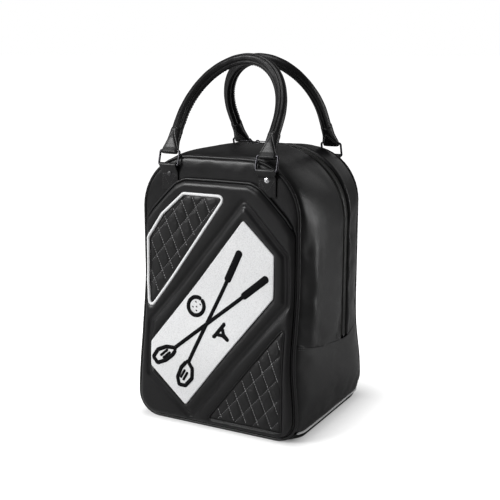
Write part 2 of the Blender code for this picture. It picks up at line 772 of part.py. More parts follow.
def make_slider(side, name, group):
    x = MEETING_X + side * (SLIDER_LENGTH / 2 + GAP)
    level = zip_level()
    base = level + GAP
    rear = ZIP_Y - GAP / 2
    front = ZIP_Y - SLIDER_FRONT
    body = box(name, (x - SLIDER_LENGTH / 2, front, base),
               (x + SLIDER_LENGTH / 2, rear, base + SLIDER_PLATE))
    skirt = SLIDER_LENGTH / 2 - 5 * OVERLAP
    flange = box(name + "_flange", (x - skirt, front + OVERLAP, level - SLIDER_SKIRT),
                 (x + skirt, ZIP_Y - TOOTH_REACH - GAP, base + SLIDER_PLATE / 3))
    combine(body, flange, "UNION")
    for near in (front + 2 * OVERLAP, rear - 2 * OVERLAP - EAR):
        ear = box(name + "_ear", (x - EAR_HALF_WIDTH, near, base + SLIDER_PLATE / 2),
                  (x + EAR_HALF_WIDTH, near + EAR, level + PIN_LIFT + EAR_TOP))
        combine(body, ear, "UNION")
    middle = Vector((x, (front + rear) / 2, level + PIN_LIFT))
    pin = rod(name + "_pin", middle, (0, 1, 0), PIN_RADIUS, rear - front - EAR)
    combine(body, pin, "UNION")
    return finish(body, BLACK_METAL, group)


def pull_pivot(side):
    x = MEETING_X + side * (SLIDER_LENGTH / 2 + GAP)
    return Vector((x, ZIP_Y - 0.0026, zip_level() + PIN_LIFT))


def make_pull(side, name, group):
    pivot = pull_pivot(side)
    eye = rod(name, pivot, (0, 1, 0), PULL_EYE_RADIUS, PULL_EYE_WIDTH)
    neck_half = Vector((0.0, PULL_EYE_WIDTH / 2 - OVERLAP, PULL / 2))
    tag_half = Vector((0.0, PULL_WIDTH / 2, PULL / 2 + OVERLAP))
    for part, ends, half in (("_neck", PULL_NECK, neck_half),
                             ("_tag", (PULL_TAG_START, PULL_LENGTH), tag_half)):
        start, end = sorted(side * reach for reach in ends)
        low = pivot + Vector((start, 0.0, 0.0)) - half
        high = pivot + Vector((end, 0.0, 0.0)) + half
        combine(eye, box(name + part, low, high), "UNION")
    bore = rod(name + "_bore", pivot, (0, 1, 0), PIN_RADIUS + BAR_CLEARANCE, 0.01)
    combine(eye, bore, "DIFFERENCE")
    return finish(eye, BLACK_METAL, group)


# Assembly

def build():
    tub = new_group("tub")
    lid = new_group("back_lid", (0.0, back_y(FOLD_Z), FOLD_Z))
    make_front(tub)
    make_panel_piping(tub, lid)
    make_gussets(tub, lid)
    make_lining(tub)
    make_lower_body(tub)
    make_back(tub, lid)
    for facing, place, owner in ((-1, "front", tub), (1, "back", lid)):
        for side, hand in ((-1, "left"), (1, "right")):
            make_tab(side, facing, f"tab_{place}_{hand}", owner)
            bright = facing < 0 and side > 0
            material = BRIGHT_METAL if bright else BLACK_METAL
            make_rivet(side, facing, f"rivet_{place}_{hand}", material, owner)
            hinge = new_group(f"ring_{place}_{hand}_axis",
                              loop_centre(facing) + Vector((side * HANDLE_X, 0.0, 0.0)))
            make_ring(side, facing, f"ring_{place}_{hand}", hinge)
        handle = new_group(f"{place}_handle", upper_bar(facing))
        make_handle(facing, f"{place}_handle", handle)
    for side, hand in ((-1, "left"), (1, "right")):
        slide = new_group(f"slider_{hand}_axis", (MEETING_X, ZIP_Y, zip_level()))
        make_slider(side, f"slider_{hand}", slide)
        pivot = new_group(f"pull_{hand}_axis", pull_pivot(side))
        make_pull(side, f"pull_{hand}", pivot)


build()
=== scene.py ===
"""Looks of the golf shoe bag: grained leather, moulded and quilted pads, piping, zip and rolled handles.

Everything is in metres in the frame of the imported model: +Z up, -Y the front with the badge.
"""

import json
import math

import bmesh
import bpy
import numpy as np
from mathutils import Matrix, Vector


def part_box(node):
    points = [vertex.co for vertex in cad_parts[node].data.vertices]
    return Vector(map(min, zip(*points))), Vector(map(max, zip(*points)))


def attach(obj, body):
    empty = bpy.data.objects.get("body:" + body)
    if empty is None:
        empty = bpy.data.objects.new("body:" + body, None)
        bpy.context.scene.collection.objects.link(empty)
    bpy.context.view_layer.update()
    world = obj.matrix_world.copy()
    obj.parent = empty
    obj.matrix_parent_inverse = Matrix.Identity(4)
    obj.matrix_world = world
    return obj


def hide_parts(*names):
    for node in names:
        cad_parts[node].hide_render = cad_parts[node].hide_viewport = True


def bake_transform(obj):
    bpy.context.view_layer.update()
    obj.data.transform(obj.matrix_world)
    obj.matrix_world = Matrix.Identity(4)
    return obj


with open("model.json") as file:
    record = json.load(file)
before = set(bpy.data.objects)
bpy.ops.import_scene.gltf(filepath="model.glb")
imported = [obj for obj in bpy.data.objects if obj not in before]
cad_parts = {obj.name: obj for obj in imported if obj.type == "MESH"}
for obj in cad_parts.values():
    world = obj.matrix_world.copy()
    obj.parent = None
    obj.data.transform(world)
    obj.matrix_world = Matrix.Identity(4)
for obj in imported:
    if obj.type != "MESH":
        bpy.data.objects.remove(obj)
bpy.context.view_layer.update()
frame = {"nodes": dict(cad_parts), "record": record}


# Sizes read from the frame

def low(node):
    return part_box(node)[0]


def high(node):
    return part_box(node)[1]


def middle(node):
    return (low(node) + high(node)) / 2


GAP = 0.0004
TOP_Z = high("front_piping").z
FOOT_Z = low("front_piping").z
WIDEST = high("front_piping").x
MID_Y = (high("tab_front_left").y + low("tab_back_left").y) / 2
HALF_DEPTH = (low("tab_back_left").y - high("tab_front_left").y) / 2 - GAP
FRONT_BELLY = MID_Y - HALF_DEPTH - low("front_piping").y
BACK_BELLY = high("back_lower_piping").y - MID_Y - HALF_DEPTH
ZIP_Y = (high("zip_teeth_front").y + low("zip_teeth_back").y) / 2
ZIP_FOOT = low("zip_tape_back").z
FOLD_Z = (high("back_lower_panel").z + low("back_panel").z) / 2
HANDLE_X = middle("ring_front_right").x
LOOP_Z = high("tab_back_right").z - 0.0032
RIVET_Z = middle("rivet_front_right").z
HANDLE_FACES = {"front": -1, "back": 1}
HANDS = {"left": -1, "right": 1}

# The body's form, as in the model
WIDTH_FLARE = 0.0055
HALF_WIDTH = WIDEST - WIDTH_FLARE
TOP_RADIUS = 0.074
FOOT_RADIUS = 0.032
FOLD_RADIUS = 0.012
FOLD_RUN = 0.030
SIDE_CROWN = 0.0085
TOP_CROWN = 0.0050
CORNER_DROOP = 0.0260
PIPING_RADIUS = 0.0022
EDGE = 2 * PIPING_RADIUS + GAP
SKIN = 0.0024
TAPE_REACH = 0.0110
GUARD_LOW = 0.1075
GUARD_LOW_Y = MID_Y + 0.035
GUARD_FRONT_RISE = 0.0216
GUARD_BACK_RISE = 0.0140
WHITE_PIPING_Z = middle("base_piping_right").z
OVERLAY_RISE = 0.0056
INTERIOR = np.array((0.0, MID_Y, 0.18))
CORNER_Z = TOP_Z - TOP_RADIUS

# Artwork on the front, as (x, z) outlines
BADGE = ((0.0393, 0.2842), (0.0834, 0.2426), (0.0832, 0.1872), (-0.0419, 0.0273), (-0.0962, 0.0751),
         (-0.0965, 0.1086))
UPPER_QUILT = ((-0.0481, 0.3104), (0.0103, 0.3104), (-0.1007, 0.1557), (-0.1045, 0.1913),
               (-0.1034, 0.2493), (-0.0809, 0.2815))
LOWER_QUILT = ((0.1000, 0.1510), (0.1000, 0.0150), (-0.0069, 0.0150))
FRAME_GROOVE = ((0.0404, 0.3107), (0.1023, 0.2443), (0.1036, 0.1800), (-0.0333, 0.0113),
                (-0.1003, 0.0630), (-0.1002, 0.1370))
OVERLAY_SHOULDER = ((0.1098, 0.2720), (0.0980, 0.2880), (0.0770, 0.3095), (0.0620, 0.3235),
                    (0.0480, 0.3297))


# Curves and distances

def stack(*parts):
    """Coordinates side by side as points; a single number stands for every point."""
    return np.stack(np.broadcast_arrays(*parts), axis=-1)


def unit(vectors):
    return vectors / np.maximum(np.linalg.norm(vectors, axis=-1, keepdims=True), 1e-12)


def fading(most, gap, reach):
    """Most where the gap is nothing, and fading away over reach."""
    return most * np.exp(-gap / reach)


def ease(t):
    """From 0 to 1 with a soft start and end."""
    t = np.clip(t, 0.0, 1.0)
    return t * t * (3.0 - 2.0 * t)


def side_x(z):
    return HALF_WIDTH + WIDTH_FLARE * (1.0 - ease((z - 0.03) / 0.09))


def front_y(z):
    return MID_Y - HALF_DEPTH - FRONT_BELLY * (1.0 - ease((z - 0.08) / 0.13))


def back_y(z):
    return MID_Y + HALF_DEPTH + BACK_BELLY * (1.0 - ease((z - 0.05) / 0.10))


def crown(y, z, out, up):
    """How far the gusset stands out from the panels' outline."""
    share = 2.0 * (y - front_y(z)) / (back_y(z) - front_y(z)) - 1.0
    swell = np.maximum(0.0, 1.0 - np.abs(share) ** 3) * ease(z / 0.06)
    return swell * (SIDE_CROWN * np.abs(out) + TOP_CROWN * np.maximum(up, 0.0))


def corner_radius(y):
    """The radius of a top corner at depth y: it droops rounder between the two panels."""
    return TOP_RADIUS + CORNER_DROOP * max(0.0, 1.0 - ((y - MID_Y) / HALF_DEPTH) ** 2)


def fold_radius(y, z):
    near = np.minimum(y - front_y(z), back_y(z) - y)
    return FOLD_RADIUS + (FOOT_RADIUS - FOLD_RADIUS) * (1.0 - ease(near / FOLD_RUN))


def guard_top(y):
    ahead = (GUARD_LOW_Y - y) / (GUARD_LOW_Y - MID_Y + HALF_DEPTH)
    behind = (y - GUARD_LOW_Y) / (MID_Y + HALF_DEPTH - GUARD_LOW_Y)
    rise = GUARD_FRONT_RISE * np.maximum(ahead, 0.0) ** 1.5
    return GUARD_LOW + rise + GUARD_BACK_RISE * np.maximum(behind, 0.0) ** 1.5


def wall(side, z, y, out=0.0):
    """Points of the side wall, out metres outside its surface."""
    radius = fold_radius(y, z)
    down = np.clip((radius - z) / radius, 0.0, 1.0)
    outwards = np.sqrt(1.0 - down ** 2)
    swell = crown(y, z, outwards, 0.0) + out
    x = side_x(z) - radius + radius * outwards + outwards * swell
    return stack(side * x, y, z - down * swell)


def panel_edge(inset, step=0.004):
    """A panel's whole outline as (x, z), anticlockwise from the foot's middle."""
    foot = FOOT_RADIUS - inset
    shoulder = TOP_RADIUS - inset
    foot_z = FOOT_Z + FOOT_RADIUS
    bottom = side_x(FOOT_Z) - FOOT_RADIUS
    top = HALF_WIDTH - TOP_RADIUS
    foot_x = np.linspace(0.0, bottom, int(bottom / step), endpoint=False)
    foot_turn = np.linspace(-math.pi / 2, 0.0, int(foot * 1.6 / step) + 6, endpoint=False)
    turn_z = foot_z + foot * np.sin(foot_turn)
    side_z = np.linspace(foot_z, CORNER_Z, int((CORNER_Z - foot_z) / step), endpoint=False)
    top_turn = np.linspace(0.0, math.pi / 2, int(shoulder * 1.6 / step), endpoint=False)
    top_x = np.linspace(top, 0.0, int(top / step))
    right = np.concatenate((
        stack(foot_x, FOOT_Z + inset),
        stack(side_x(turn_z) - FOOT_RADIUS + foot * np.cos(foot_turn), turn_z),
        stack(side_x(side_z) - inset, side_z),
        stack(top + shoulder * np.cos(top_turn), CORNER_Z + shoulder * np.sin(top_turn)),
        stack(top_x, TOP_Z - inset)))
    return np.concatenate((right, right[1:-1][::-1] * (-1.0, 1.0)))


def resample(points, step, closed):
    """Points evenly spaced along a line of points."""
    points = np.asarray(points, float)
    line = np.concatenate((points, points[:1])) if closed else points
    lengths = np.linalg.norm(np.diff(line, axis=0), axis=1)
    along = np.concatenate(([0.0], np.cumsum(lengths)))
    count = max(3, int(round(along[-1] / step)))
    places = np.linspace(0.0, along[-1], count, endpoint=not closed)
    return np.stack([np.interp(places, along, line[:, k]) for k in range(line.shape[1])], axis=-1)


def rounded(corners, radius, step=0.002, closed=True):
    """An outline through corners, each turned into an arc of the radius."""
    corners = np.asarray(corners, float)
    count = len(corners)
    parts = []
    for index in range(count):
        here = corners[index]
        if not closed and index in (0, count - 1):
            parts.append(here[None])
            continue
        back = corners[index - 1] - here
        on = corners[(index + 1) % count] - here
        room = 0.48 * min(np.linalg.norm(back), np.linalg.norm(on))
        back = unit(back)
        on = unit(on)
        half = math.acos(max(-1.0, min(1.0, float(back @ on)))) / 2
        cut = min(radius / math.tan(half), room)
        share = np.linspace(0.0, 1.0, 9)[:, None]
        start = here + back * cut
        end = here + on * cut
        parts.append((1 - share) ** 2 * start + 2 * share * (1 - share) * here + share ** 2 * end)
    return resample(np.concatenate(parts), step, closed)


def distance(points, outline):
    """Distance from each (x, z) point to a closed outline."""
    best = np.full(len(points), np.inf)
    for start, end in zip(outline, np.roll(outline, -1, axis=0)):
        run = end - start
        t = np.clip(((points - start) @ run) / max(run @ run, 1e-12), 0.0, 1.0)
        gap = points - start - t[:, None] * run
        best = np.minimum(best, np.einsum("ij,ij->i", gap, gap))
    return np.sqrt(best)


def inside(points, outline):
    """Which (x, z) points an outline goes round."""
    crossings = np.zeros(len(points), bool)
    x, z = points[:, 0], points[:, 1]
    for (x0, z0), (x1, z1) in zip(outline, np.roll(outline, -1, axis=0)):
        if z0 == z1:
            continue
        spans = (z0 > z) != (z1 > z)
        crossings ^= spans & (x < (x1 - x0) * (z - z0) / (z1 - z0) + x0)
    return crossings


def signed(points, outline):
    """Distance to an outline, negative inside it."""
    gap = distance(points, outline)
    return np.where(inside(points, outline), -gap, gap)


def dip(gap, width):
    return np.exp(-((gap / width) ** 2))


def ripple(points, pitch, seed):
    """Smooth, repeatable unevenness between about -1 and 1, at a pitch in metres."""
    rng = np.random.default_rng(seed)
    total = np.zeros(len(points))
    for _ in range(7):
        direction = rng.normal(size=points.shape[1])
        direction /= np.linalg.norm(direction)
        wave = rng.uniform(0.6, 1.6) * 2 * math.pi / pitch
        total += np.sin(points @ direction * wave + rng.uniform(0, 2 * math.pi))
    return total / 7 ** 0.5 / 1.4


# Materials

def new_nodes(name):
    material = bpy.data.materials.new(name)
    material.use_nodes = True
    tree = material.node_tree
    return material, tree, tree.nodes["Principled BSDF"]


def feed(tree, made, inputs):
    """Gives a node's inputs their values, or links them to other nodes' sockets."""
    for key, value in inputs.items():
        if isinstance(value, bpy.types.NodeSocket):
            tree.links.new(value, made.inputs[key])
        else:
            made.inputs[key].default_value = value


def node(tree, kind, inputs=None, **settings):
    made = tree.nodes.new(kind)
    for key, value in settings.items():
        setattr(made, key, value)
    feed(tree, made, inputs or {})
    return made


def grey(value):
    return (value, value, value, 1.0)


def darker(colour, share):
    return tuple(part * share for part in colour[:3]) + (1.0,)


def noise(tree, coords, scale, detail=3.0, roughness=0.55):
    inputs = {"Vector": coords, "Scale": scale, "Detail": detail, "Roughness": roughness}
    return node(tree, "ShaderNodeTexNoise", inputs).outputs["Fac"]


def spread(tree, value, start, end, low_value=0.0, high_value=1.0):
    """A value's range from start to end, stretched to lie between two others."""
    inputs = {"Value": value, "From Min": start, "From Max": end, "To Min": low_value,
              "To Max": high_value}
    return node(tree, "ShaderNodeMapRange", inputs).outputs["Result"]


def mixed(tree, share, first, second):
    """Two colours or colour sockets mixed."""
    inputs = {"Factor": share, 6: first, 7: second}
    return node(tree, "ShaderNodeMix", inputs, data_type="RGBA").outputs[2]


def combined(tree, operation, first, second):
    return node(tree, "ShaderNodeMath", {0: first, 1: second}, operation=operation).outputs[0]


def bumped(tree, shader, layers):
    """Chains bumps, each (height socket, distance in metres, strength), into the shader."""
    normal = None
    for height, reach, strength in layers:
        inputs = {"Height": height, "Distance": reach, "Strength": strength}
        if normal is not None:
            inputs["Normal"] = normal
        normal = node(tree, "ShaderNodeBump", inputs).outputs["Normal"]
    tree.links.new(normal, shader.inputs["Normal"])


def place(tree):
    return node(tree, "ShaderNodeTexCoord").outputs["Object"]


def leather(name, dark, pale, roughness, grain=0.00030, pores=0.0011, wear=0.0):
    """Grained artificial leather: rounded cells with creases between them, and a soft sheen."""
    material, tree, shader = new_nodes(name)
    at = place(tree)
    cloud = noise(tree, at, 14.0, 4.0)
    speckle = noise(tree, at, 900.0, 2.0)
    cells = node(tree, "ShaderNodeTexVoronoi", {"Vector": at, "Scale": 1.0 / pores, "Smoothness": 0.7},
                 feature="SMOOTH_F1").outputs["Distance"]
    colour = mixed(tree, spread(tree, cloud, 0.3, 0.7), dark, pale)
    creases = spread(tree, cells, 0.25, 0.75)
    colour = mixed(tree, combined(tree, "MULTIPLY", creases, 0.35), colour, grey(dark[0] * 0.45))
    if wear > 0.0:
        edges = node(tree, "ShaderNodeNewGeometry").outputs["Pointiness"]
        rub = combined(tree, "MULTIPLY", spread(tree, edges, 0.515, 0.56), spread(tree, speckle, 0.35, 0.7))
        rub = combined(tree, "MULTIPLY", rub, wear)
        colour = mixed(tree, rub, colour, grey(min(1.0, pale[0] * 3.5)))
    rough = combined(tree, "ADD", spread(tree, cloud, 0.2, 0.8, roughness - 0.05, roughness + 0.06),
                     spread(tree, creases, 0.0, 1.0, 0.0, 0.10))
    feed(tree, shader, {"Base Color": colour, "Roughness": rough, "Specular IOR Level": 0.30})
    height = combined(tree, "SUBTRACT", 1.0, cells)
    folds = noise(tree, at, 55.0, 3.0)
    bumped(tree, shader, ((folds, 0.0006, 0.12), (height, grain, 0.55), (speckle, 0.00010, 0.35)))
    return material


def threads_wave(tree, at, pitch, distortion, direction):
    """The wave made by threads laid side by side at a pitch."""
    inputs = {"Vector": at, "Scale": 1.0 / pitch / 6.28, "Distortion": distortion}
    return node(tree, "ShaderNodeTexWave", inputs, bands_direction=direction).outputs["Fac"]


def thread(name, colour, pitch=0.0009, roughness=0.55, specular=0.25, sheen=0.1):
    """Twisted sewing thread."""
    material, tree, shader = new_nodes(name)
    at = place(tree)
    twist = threads_wave(tree, at, pitch, 0.6, "DIAGONAL")
    rough = spread(tree, noise(tree, at, 400.0), 0.3, 0.7, roughness - 0.08, roughness + 0.1)
    feed(tree, shader, {"Base Color": mixed(tree, twist, darker(colour, 0.62), colour), "Roughness": rough,
                        "Sheen Weight": sheen, "Specular IOR Level": specular})
    bumped(tree, shader, ((twist, 0.00015, 0.6),))
    return material


def metal(name, colour, roughness, scratch=0.25):
    """Plated metal with fine rubbing marks."""
    material, tree, shader = new_nodes(name)
    at = place(tree)
    cloud = noise(tree, at, 90.0, 4.0)
    marks = noise(tree, at, 1400.0, 2.0)
    base = mixed(tree, spread(tree, cloud, 0.35, 0.7), colour, darker(colour, 0.78))
    rough = combined(tree, "ADD", spread(tree, cloud, 0.3, 0.7, roughness * 0.8, roughness * 1.25),
                     spread(tree, marks, 0.5, 0.75, 0.0, 0.08))
    feed(tree, shader, {"Metallic": 1.0, "Base Color": base, "Roughness": rough})
    bumped(tree, shader, ((marks, 0.00004, scratch),))
    return material


def woven(name, dark, pale, pitch, roughness=0.85):
    """Plain weave, from crossed sets of threads."""
    material, tree, shader = new_nodes(name)
    at = place(tree)
    sets = [threads_wave(tree, at, pitch, 0.4, direction) for direction in ("X", "Y", "Z")]
    height = combined(tree, "MULTIPLY", combined(tree, "ADD", sets[0], sets[1]), sets[2])
    cloud = noise(tree, at, 60.0, 4.0)
    base = mixed(tree, spread(tree, height, 0.2, 1.2), dark, pale)
    base = mixed(tree, spread(tree, cloud, 0.45, 0.9, 0.0, 0.4), base, dark)
    rough = spread(tree, cloud, 0.2, 0.8, roughness - 0.08, min(1.0, roughness + 0.08))
    feed(tree, shader, {"Base Color": base, "Roughness": rough, "Specular IOR Level": 0.25,
                        "Sheen Weight": 0.12})
    bumped(tree, shader, ((height, 0.0002, 0.6), (noise(tree, at, 700.0), 0.0001, 0.3)))
    return material


def moulded(name, dark, pale, roughness, scale=120.0, bump=0.0002):
    """Moulded plastic or foam with an uneven surface."""
    material, tree, shader = new_nodes(name)
    at = place(tree)
    cloud = noise(tree, at, scale, 5.0)
    fine = noise(tree, at, scale * 9, 2.0)
    rough = spread(tree, fine, 0.3, 0.7, roughness - 0.08, min(1.0, roughness + 0.08))
    feed(tree, shader, {"Base Color": mixed(tree, spread(tree, cloud, 0.3, 0.7), dark, pale),
                        "Roughness": rough})
    bumped(tree, shader, ((cloud, bump, 0.4), (fine, bump / 3, 0.5)))
    return material


LEATHER = leather("black_leather", (0.0048, 0.0046, 0.0050, 1.0), (0.0075, 0.0072, 0.0079, 1.0), 0.31,
                  grain=0.00012, pores=0.0008, wear=0.25)
PANEL_LEATHER = leather("smooth_leather", (0.0045, 0.0043, 0.0047, 1.0), (0.0070, 0.0067, 0.0073, 1.0),
                        0.30, grain=0.00010, pores=0.0008, wear=0.25)
QUILT_LEATHER = leather("quilted_leather", (0.0060, 0.0058, 0.0061, 1.0), (0.0095, 0.0093, 0.0097, 1.0),
                        0.38, grain=0.00022, pores=0.0010)
BASE_LEATHER = leather("base_leather", (0.0055, 0.0055, 0.0057, 1.0), (0.0085, 0.0085, 0.0087, 1.0), 0.50,
                       grain=0.00040, pores=0.0016)
WHITE_LEATHER = leather("white_leather", (0.76, 0.765, 0.775, 1.0), (0.83, 0.835, 0.84, 1.0), 0.42,
                        grain=0.00012, pores=0.0010)
WHITE_PIPING = leather("white_piping", (0.80, 0.805, 0.81, 1.0), (0.87, 0.87, 0.88, 1.0), 0.38,
                       grain=0.00010, pores=0.0008)
PALE_THREAD = thread("pale_thread", (0.56, 0.56, 0.57, 1.0))
DIM_THREAD = thread("dim_thread", (0.32, 0.32, 0.325, 1.0))
DARK_THREAD = thread("dark_thread", (0.085, 0.083, 0.085, 1.0))
SATIN_THREAD = thread("satin_thread", (0.0055, 0.0055, 0.0065, 1.0), pitch=0.0006, roughness=0.65,
                      specular=0.06, sheen=0.0)
ZIP_TAPE = woven("zip_tape", (0.006, 0.006, 0.005, 1.0), (0.017, 0.017, 0.014, 1.0), 0.0008)
ZIP_TEETH = moulded("zip_teeth", (0.008, 0.008, 0.008, 1.0), (0.015, 0.015, 0.014, 1.0), 0.38, 600.0,
                    0.00005)
BLACK_METAL = metal("black_metal", (0.050, 0.049, 0.054, 1.0), 0.30)
# A dark copy of the rivet finish that stands for the shade the front left rivet sat in: painted shade on
# every rivet but the front right one
RIVET_PAINTED_SHADE = moulded("rivet_painted_shade", (0.012, 0.012, 0.013, 1.0), (0.020, 0.020, 0.021, 1.0), 0.42, 300.0,
                      0.00004)
BRIGHT_METAL = metal("bright_metal", (0.78, 0.78, 0.80, 1.0), 0.18)
LINING = woven("lining_cloth", (0.030, 0.030, 0.033, 1.0), (0.060, 0.060, 0.066, 1.0), 0.0011)
BOARD = moulded("stiffener_board", (0.075, 0.075, 0.075, 1.0), (0.115, 0.113, 0.110, 1.0), 0.70)
FOAM = moulded("foam_core", (0.24, 0.24, 0.23, 1.0), (0.34, 0.34, 0.33, 1.0), 0.92, 500.0, 0.0006)


# Makers of pieces

def new_piece(name, points, faces, material):
    mesh = bpy.data.meshes.new(name)
    mesh.from_pydata(points.tolist(), [], faces.tolist() if hasattr(faces, "tolist") else faces)
    mesh.update()
    mesh.shade_smooth()
    mesh.materials.append(material)
    piece = bpy.data.objects.new(name, mesh)
    bpy.context.scene.collection.objects.link(piece)
    return piece


def turn_out(mesh):
    """Turns a sheet's faces so that they look away from the bag's inside."""
    count = len(mesh.polygons)
    normals = np.zeros(count * 3)
    centres = np.zeros(count * 3)
    areas = np.zeros(count)
    mesh.polygons.foreach_get("normal", normals)
    mesh.polygons.foreach_get("center", centres)
    mesh.polygons.foreach_get("area", areas)
    facing = ((centres.reshape(-1, 3) - INTERIOR) * normals.reshape(-1, 3)).sum(1)
    if (facing * areas).sum() < 0.0:
        mesh.flip_normals()


def grid_faces(rows, columns, closed=False):
    """Four-sided faces between the points of a grid."""
    a = np.arange(rows - 1)[:, None] * columns
    b = np.arange(columns if closed else columns - 1)[None, :]
    c = (b + 1) % columns
    return np.stack((a + b, a + c, a + columns + c, a + columns + b), axis=-1).reshape(-1, 4)


def tube_faces(rows, columns):
    """Faces round a stack of rings, with the first and the last ring filled in."""
    ring = list(range(columns))
    last = [(rows - 1) * columns + index for index in ring]
    return grid_faces(rows, columns, closed=True).tolist() + [ring[::-1], last]


def thicken(piece, thickness):
    """Gives a sheet its thickness, inwards from the surface."""
    solid = piece.modifiers.new("thickness", "SOLIDIFY")
    solid.thickness = thickness
    solid.offset = -1.0
    return piece


SIM_FRAMES = 16
CLOTH_SETTINGS = {
    "quality": 4, "mass": 0.002, "tension_stiffness": 12.0, "compression_stiffness": 8.0,
    "shear_stiffness": 4.0, "bending_stiffness": 0.4, "tension_damping": 6.0, "bending_damping": 0.6,
    "air_damping": 1.0, "vertex_group_mass": "held", "use_pressure": True,
}


def upsampled(coarse, picked, count, axis):
    """Values at every index along one axis, from those at the picked indices."""
    moved = np.moveaxis(coarse, axis, 0)
    flat = moved.reshape(len(picked), -1)
    index = np.arange(count)
    full = np.stack([np.interp(index, picked, column) for column in flat.T], axis=-1)
    return np.moveaxis(full.reshape((count,) + moved.shape[1:]), 0, axis)


def smoothed(values, times, axis, closed):
    """Values averaged with their neighbours along one axis, several times."""
    for _ in range(times):
        ahead = np.roll(values, -1, axis=axis)
        behind = np.roll(values, 1, axis=axis)
        mean = values / 2 + ahead / 4 + behind / 4
        if not closed:
            ends = (slice(None),) * axis + ([0, -1],)
            mean[ends] = values[ends]
        values = mean
    return values


def picks(count, step, closed):
    """Indices about step apart, with both ends unless the row closes on itself."""
    if closed:
        return np.append(np.arange(0, count - step // 2, step), count)
    return np.unique(np.append(np.arange(0, count, step), count - 1))


def swollen(grid, held, steps, pressure, cap, closed=False, spare=0.012):
    """A grid of leather after a cloth simulation: held at its seams, filled out between them.

    Spare is how much larger than its place the leather is cut, and cap limits its swelling.
    """
    rows, columns = grid.shape[:2]
    row_picks = picks(rows, steps[0], False)
    column_picks = picks(columns, steps[1], closed)
    around = column_picks[:-1] if closed else column_picks
    coarse = grid[np.ix_(row_picks, around)]
    pinned = held[np.ix_(row_picks, around)]
    faces = grid_faces(len(row_picks), len(around), closed)
    cloth = new_piece("cloth_at_work", coarse.reshape(-1, 3), faces, LEATHER)
    turn_out(cloth.data)
    group = cloth.vertex_groups.new(name="held")
    group.add(np.flatnonzero(pinned.reshape(-1)).tolist(), 1.0, "REPLACE")
    modifier = cloth.modifiers.new("cloth", "CLOTH")
    for key, value in CLOTH_SETTINGS.items():
        setattr(modifier.settings, key, value)
    modifier.settings.shrink_min = -spare
    modifier.settings.uniform_pressure_force = pressure
    modifier.settings.effector_weights.gravity = 0.0
    modifier.point_cache.frame_start = 1
    modifier.point_cache.frame_end = SIM_FRAMES
    scene = bpy.context.scene
    for number in range(1, SIM_FRAMES + 1):
        scene.frame_set(number)
    worked = cloth.evaluated_get(bpy.context.evaluated_depsgraph_get())
    moved = np.empty(len(cloth.data.vertices) * 3)
    worked.data.vertices.foreach_get("co", moved)
    shift = moved.reshape(coarse.shape) - coarse
    size = np.linalg.norm(shift, axis=-1, keepdims=True)
    shift *= cap / (cap + size)
    bpy.data.objects.remove(cloth)
    scene.frame_set(1)
    if closed:
        shift = np.concatenate((shift, shift[:, :1]), axis=1)
        shift = upsampled(shift, column_picks, columns + 1, 1)[:, :-1]
    else:
        shift = upsampled(shift, column_picks, columns, 1)
    shift = upsampled(shift, row_picks, rows, 0)
    shift = smoothed(smoothed(shift, steps[0], 0, False), steps[1], 1, closed)
    return grid + shift


def sheet_of(name, grid, material, thickness=SKIN):
    """A leather sheet through a grid of points."""
    rows, columns = grid.shape[:2]
    piece = new_piece(name, grid.reshape(-1, 3), grid_faces(rows, columns), material)
    turn_out(piece.data)
    return thicken(piece, thickness)


def ring_shares(step, fine):
    """Shares of the way in from an outline to its middle, closely spaced near the outline."""
    near = np.array((0.0, 0.12, 0.32, 0.6, 1.0)) * fine
    return np.concatenate((near, np.arange(near[-1] + step, 1.0, step)))


def pad(name, outline, lift, material, surface=front_y, facing=-1, step=0.011, fine=0.02,
        thickness=SKIN, held=None, steps=(3, 3), pressure=4.0, cap=0.002):
    """A padded sheet over an (x, z) outline, lift metres out from the bag's front or back."""
    centre = outline.mean(0)
    shares = ring_shares(step, fine)
    rings = centre + (1.0 - shares)[:, None, None] * (outline - centre)
    flat = np.concatenate((rings.reshape(-1, 2), centre[None]))
    points = stack(flat[:, 0], surface(flat[:, 1]) + facing * lift(flat), flat[:, 1])
    count = len(outline)
    if held is not None:
        grid = points[:-1].reshape(len(shares), count, 3)
        kept = held(flat[:-1]).reshape(len(shares), count)
        kept[0] = True
        grid = swollen(grid, kept, steps, pressure, cap, closed=True)
        points = np.concatenate((grid.reshape(-1, 3), grid[-1].mean(0)[None]))
    faces = grid_faces(len(shares), count, closed=True).tolist()
    start = (len(shares) - 1) * count
    hub = len(flat) - 1
    faces += [[start + k, start + (k + 1) % count, hub] for k in range(count)]
    piece = new_piece(name, points, faces, material)
    turn_out(piece.data)
    return thicken(piece, thickness)


def frames_along(path, closed, across=None):
    """Tangents and two perpendiculars at each point of a path."""
    if closed:
        tangent = unit(np.roll(path, -1, axis=0) - np.roll(path, 1, axis=0))
    else:
        tangent = unit(np.gradient(path, axis=0))
    if across is not None:
        side = unit(np.cross(tangent, np.broadcast_to(across, tangent.shape)))
        return tangent, side, np.cross(side, tangent)
    reference = np.array((0.0, 1.0, 0.0))
    if abs(tangent[0] @ reference) > 0.9:
        reference = np.array((1.0, 0.0, 0.0))
    sides = []
    for way in tangent:
        reference = unit(reference - way * (reference @ way))
        sides.append(reference)
    side = np.array(sides)
    return tangent, side, np.cross(tangent, side)


